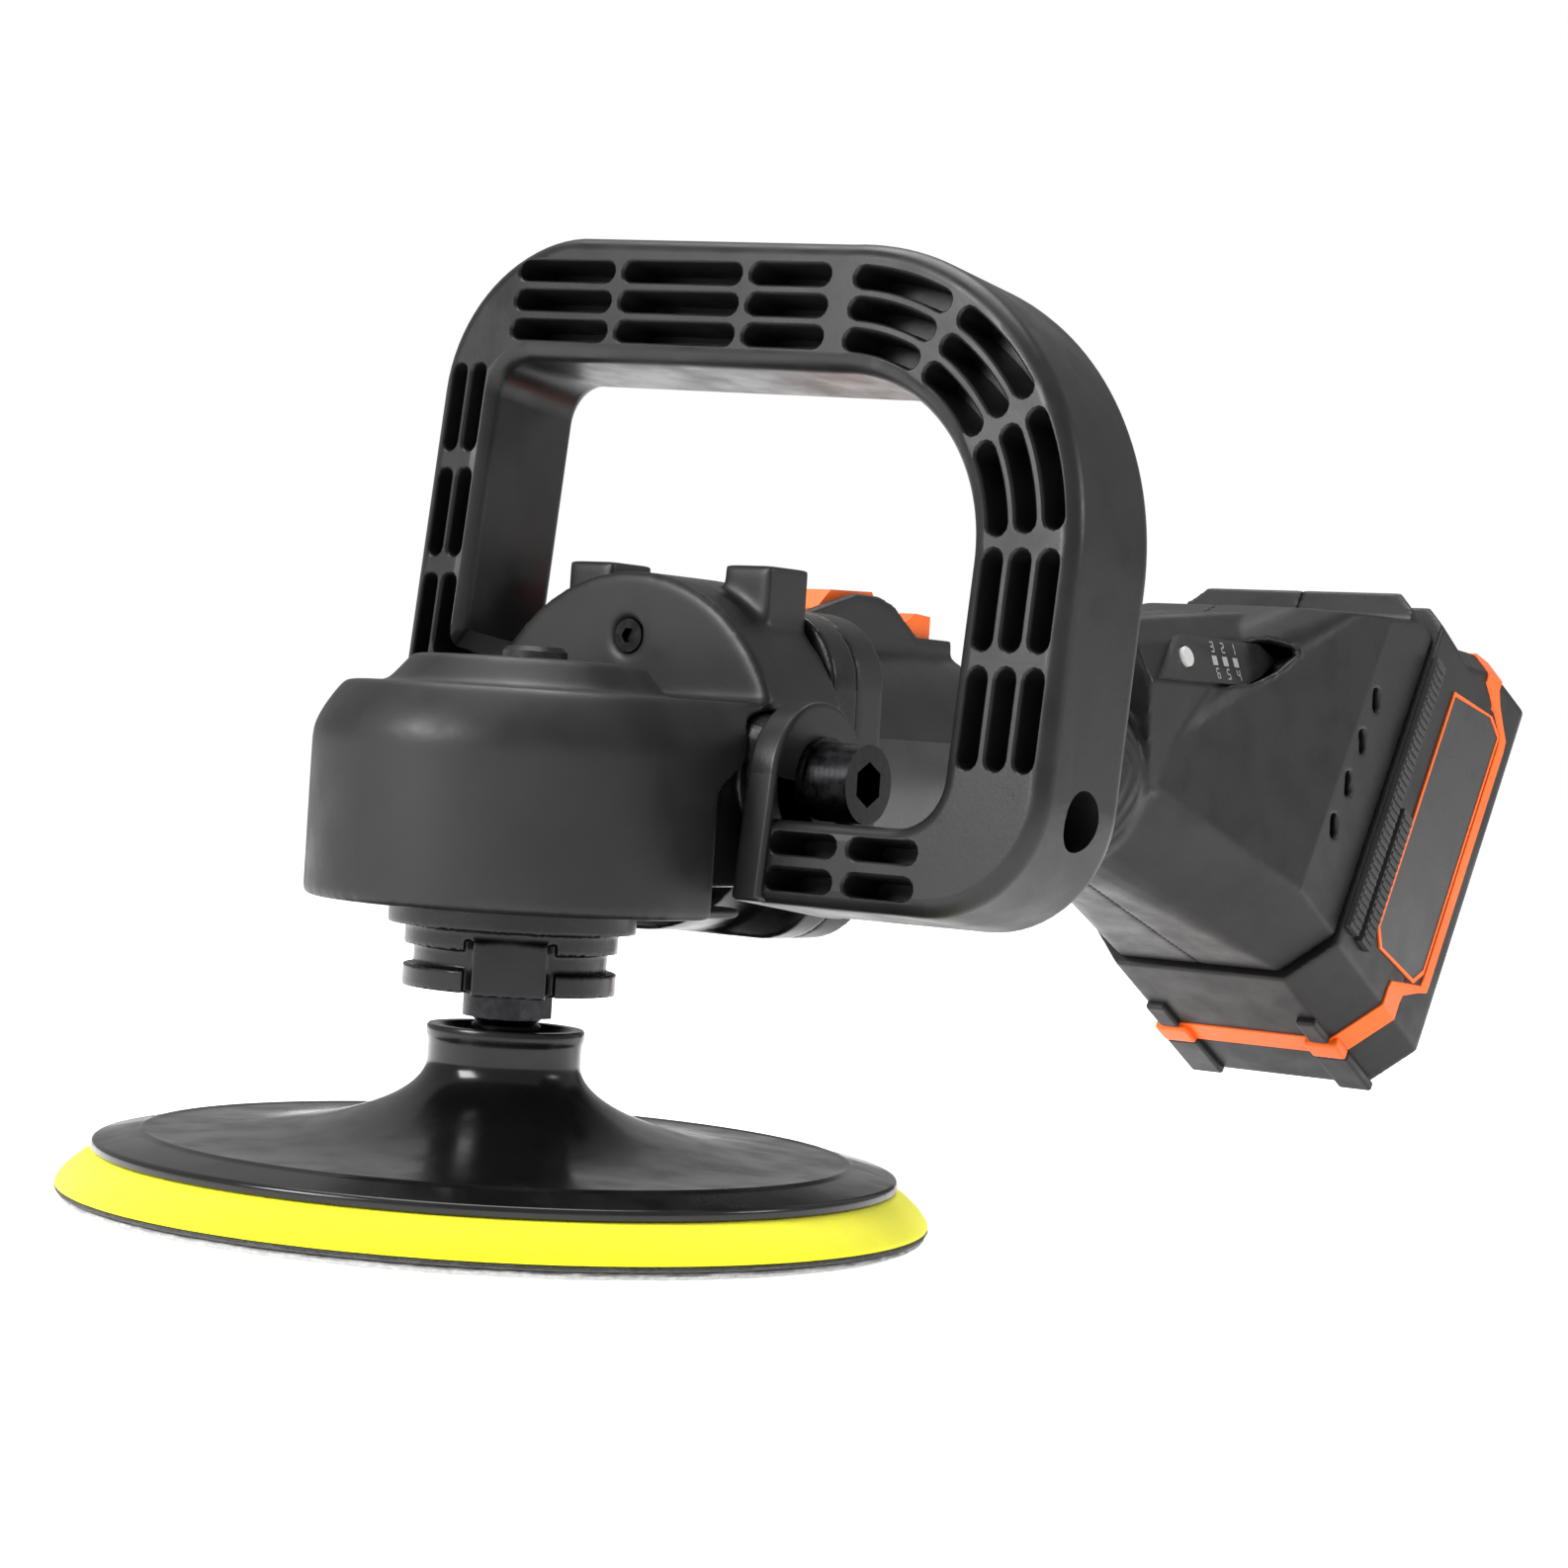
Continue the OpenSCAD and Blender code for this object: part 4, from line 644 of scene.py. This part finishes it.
def grip_half(side):
    """half a sleeve with nested chevron ribs that point forward"""
    across, along = 150, 110
    bm = bmesh.new()

    def ring(s, inner):
        row = []
        for i in range(across + 1):
            a = rad(-90 + 180 * i / across)
            lift = 0.0
            if not inner:
                arm = abs(a + 0.15) * grip_r
                wave = math.cos(2 * math.pi * (s - grip_from + rib_slant * arm) / rib_pitch)
                fade = min(1, (s - grip_from) / rib_fade, (grip_to - s) / rib_fade)
                lift = rib_h * max(0, min(1, 0.5 + wave)) * max(0, fade)
            r = grip_core if inner else grip_r - rib_base + lift
            row.append(bm.verts.new((side * r * math.cos(a), r * math.sin(a), s)))
        return row

    rows = [ring(grip_from + (grip_to - grip_from) * j / along, False) for j in range(along + 1)]
    rows += [ring(grip_to, True), ring(grip_from, True)]
    for a, b in zip(rows, rows[1:] + rows[:1]):
        for i in range(across):
            bm.faces.new((a[i], a[i + 1], b[i + 1], b[i]))
    for column in (0, across):
        bm.faces.new([row[column] for row in rows])
    bmesh.ops.recalc_face_normals(bm, faces=bm.faces)
    bm.transform(grip_place)
    return bm


for name, node, side in (("grip_left", "grip_rubber_left", -1), ("grip_right", "grip_rubber_right", 1)):
    piece(name, grip_half(side), "tool", grip_rubber, [node], 50, False)

# ---------------------------------------------------------------- speed panel marks

panel_place = at(21.4, 236, 126) @ turn(70, "Y")
# bars of a numeral from (across, up) to (across, up), and the bars that each numeral lights
SEGMENTS = {"a": (0, 1, 1, 1), "b": (1, 1, 1, 0), "c": (1, 0, 1, -1), "d": (0, -1, 1, -1),
            "e": (0, -1, 0, 0), "f": (0, 0, 0, 1), "g": (0, 0, 1, 0)}
DIGITS = {1: "bc", 2: "abged", 3: "abgcd", 4: "fgbc", 5: "afgcd", 6: "afgedc"}


def digit(number, x, y):
    """a numeral of short bars, read from outside with its top up the face"""
    tall, wide, pen = 1.25, 1.3, 0.16
    sunk, proud = 1.9, 2.08
    bars = []
    for key in DIGITS[number]:
        u0, v0, u1, v1 = SEGMENTS[key]
        lo = (x - max(v0, v1) * tall - pen, y + min(u0, u1) * wide - pen, sunk)
        hi = (x - min(v0, v1) * tall + pen, y + max(u0, u1) * wide + pen, proud)
        bars.append(block(lo, hi, panel_place))
    return gather(bars)


first_y, pitch_y = 2.4, 5.4
marks = [digit(n, x, first_y + pitch_y * i) for x, row in ((-3.6, (3, 2, 1)), (3.4, (6, 5, 4)))
         for i, n in enumerate(row)]
piece("panel_numerals", gather(marks), "tool", led_clear)

# ---------------------------------------------------------------- battery pack

pack_place = at(0, 311.6, 96.7) @ turn(60, "X")
pack_half, pack_reach, pack_cut = 37.5, 59.0, 12.0
# low and high edge of the band, at the pack's ends and along its sides
band_end, band_side = (-41.0, -32.5), (-53.2, -49.7)
end_bump_x = 23


def pack_plan(t):
    """plan of the pack with cut corners, t inside its outline"""
    half, end, cut = pack_half - t, pack_reach - t, pack_cut - t / 2
    return [(-half + cut, -end), (half - cut, -end), (half, -end + cut), (half, end - cut / 2),
            (half - cut / 2, end), (-half + cut / 2, end), (-half, end - cut / 2), (-half, -end + cut)]


def divided(outline, n):
    """each side of an outline cut into n"""
    return [(x0 + (x1 - x0) * i / n, y0 + (y1 - y0) * i / n)
            for (x0, y0), (x1, y1) in zip(outline, outline[1:] + outline[:1]) for i in range(n)]


def swollen(x, y, z):
    """the pack leans out towards its deep rear corner: below the latch, below the band and underneath"""
    upper_lean, lower_lean, deeper = 7.2, 2.2, 2.6
    grow = upper_lean * ramp(-z, 21, 36) + lower_lean * ramp(-z, 36, 57)
    return x, y + grow * ramp(y, 26, 52), z - deeper * ramp(-z, 49, 62)


def band():
    """high at both ends of the pack, and low and narrow along the sides under the label"""
    outer, inner = divided(pack_plan(-0.5), 40), divided(pack_plan(1.2), 40)
    count = len(outer)
    top, low = [], []
    for x, y in outer:
        side = ramp(y, -40, -32) * ramp(-y, -50, -43)
        low.append(band_end[0] + (band_side[0] - band_end[0]) * side)
        top.append(band_end[1] + (band_side[1] - band_end[1]) * side)
    bm = bmesh.new()
    loops = [[bm.verts.new((x, y, z)) for (x, y), z in zip(ring, heights)]
             for ring, heights in ((outer, low), (outer, top), (inner, top), (inner, low))]
    for a, b in zip(loops, loops[1:] + loops[:1]):
        for i in range(count):
            j = (i + 1) % count
            bm.faces.new((a[i], a[j], b[j], b[i]))
    bmesh.ops.recalc_face_normals(bm, faces=bm.faces)
    bm.transform(pack_place)
    return warped(bm, pack_place, swollen)


def lower_body():
    """the deep lower shell, its wall carried up behind the band"""
    def tray(levels):
        return loft([[(x, y, z) for x, y in pack_plan(t)] for z, t in levels])

    shell = join(tray([(-62, 5), (-57.5, 0), (-40.8, 0)]), tray([(-59.6, 6), (-56, 2.4), (-38, 2.4)]))
    shell.transform(pack_place)
    return warped(melt(shell, 0.7, 5, 0.5), pack_place, swollen)


def end_bumps(levels):
    """bulges on the pack's lower end: low and high edge, half width and how far they stand out"""
    bumps = []
    for x in (-end_bump_x, end_bump_x):
        for low, high, half, proud in levels:
            bumps.append(round_edges(block((x - half, -pack_reach - proud, low),
                                           (x + half, -pack_reach + 1, high)), 0.9, 3))
    whole = gather(bumps)
    whole.transform(pack_place)
    return whole


# corners of the label: y along the rails and z from the seam
LABEL = [(-35.3, -22.5), (-31.5, -18), (41.5, -18), (49, -40.5), (47, -48), (-28, -48), (-33, -44)]


def label_plate():
    """the plain label, let into the pack's side"""
    def one():
        plate = loft([[(x, y, z) for y, z in LABEL] for x in (37.2, 37.75)])
        plate.transform(pack_place)
        return plate
    return mirrored(one)


def label_frame():
    """a thin raised line round the label"""
    def one():
        middle_y, middle_z, width = 5.5, -33, 0.9
        grown = [(y + math.copysign(width, y - middle_y), z + math.copysign(width, z - middle_z))
                 for y, z in LABEL]

        def ring(outline, x):
            return [(x, y, z) for y, z in outline]

        line = join(loft([ring(grown, 37.1), ring(grown, 37.95)]),
                    loft([ring(LABEL, 36.0), ring(LABEL, 38.5)]))
        line.transform(pack_place)
        return line
    return mirrored(one)


def rail_teeth():
    """cross ribs on the two side rails"""
    pitch, half_t, inset, sunk, proud = 2.2, 0.5, 0.4, 39.0, 39.5

    def one():
        bars = []
        for y0, y1, z0, z1 in ((-40, 42, -6.5, -0.8), (-40, -1, -15, -9)):
            n = int((y1 - y0) / pitch)
            for i in range(n):
                y = y0 + (y1 - y0) * (i + 0.5) / n
                bars.append(block((sunk, y - half_t, z0 + inset), (proud, y + half_t, z1 - inset),
                                  pack_place))
        return gather(bars)
    return mirrored(one)


piece("pack_top", warped(melt(from_frame("pack_upper_shell"), 0.7, 4, 0.4), pack_place, swollen),
      "pack", housing_plastic, ["pack_upper_shell"], 50)
piece("label_plates", label_plate(), "pack", label_film, ["pack_labels"])
piece("pack_base", lower_body(), "pack", housing_plastic, ["pack_lower_shell"], 50)
piece("band", gather([round_edges(band(), 0.25, 2, 60), end_bumps([(-40.6, -33, 5, 2.2)])]),
      "pack", orange, ["pack_band"], 40)
piece("pack_ribs", end_bumps([(-32.8, -22, 3, 1.8), (-59.5, -41, 5, 1.8)]), "pack",
      housing_plastic)
piece("label_line", label_frame(), "pack", orange)
piece("rail_ribs", rail_teeth(), "pack", rib_grey)

# ---------------------------------------------------------------- floor and lights

def set_stage():
    """a pale floor and a white surround, which is dimmer as a light than to the camera"""
    floor_glow, world_light, world_seen = 0.66, 0.42, 1.0
    bm = bmesh.new()
    bmesh.ops.create_grid(bm, x_segments=1, y_segments=1, size=14)
    mesh = bpy.data.meshes.new("floor")
    bm.to_mesh(mesh)
    bm.free()
    floor = bpy.data.objects.new("floor", mesh)
    mat = bpy.data.materials.new("floor")
    mat.use_nodes = True
    shader = mat.node_tree.nodes["Principled BSDF"]
    shader.inputs["Base Color"].default_value = (0.95, 0.95, 0.95, 1)
    shader.inputs["Roughness"].default_value = 0.9
    shader.inputs["Specular IOR Level"].default_value = 0.0
    shader.inputs["Emission Color"].default_value = (1, 1, 1, 1)
    shader.inputs["Emission Strength"].default_value = floor_glow
    mesh.materials.append(mat)
    scene.collection.objects.link(floor)
    world = bpy.data.worlds.new("studio")
    world.use_nodes = True
    back = world.node_tree.nodes["Background"]
    back.inputs["Color"].default_value = (1, 1, 1, 1)
    seen = world.node_tree.nodes.new("ShaderNodeLightPath")
    power = world.node_tree.nodes.new("ShaderNodeMapRange")
    power.inputs["To Min"].default_value, power.inputs["To Max"].default_value = world_light, world_seen
    world.node_tree.links.new(seen.outputs["Is Camera Ray"], power.inputs["Value"])
    world.node_tree.links.new(power.outputs["Result"], back.inputs["Strength"])
    scene.world = world
    scene.view_settings.view_transform = "Standard"


def softbox(name, place, aim, size, watts):
    """a square lamp at a place in metres, aimed at a point"""
    data = bpy.data.lights.new(name, "AREA")
    data.shape, data.size, data.energy = "SQUARE", size, watts
    lamp = bpy.data.objects.new(name, data)
    lamp.location = place
    lamp.rotation_euler = (Vector(aim) - Vector(place)).to_track_quat("-Z", "Y").to_euler()
    scene.collection.objects.link(lamp)


set_stage()
softbox("key", (-0.5, -1.5, 0.9), (0, 0.05, 0.08), 0.7, 34)
softbox("top", (-0.3, 0.3, 1.7), (0, 0.1, 0.1), 1.2, 26)
softbox("rim", (1.5, 0.9, 0.8), (0, 0.2, 0.1), 0.35, 7)
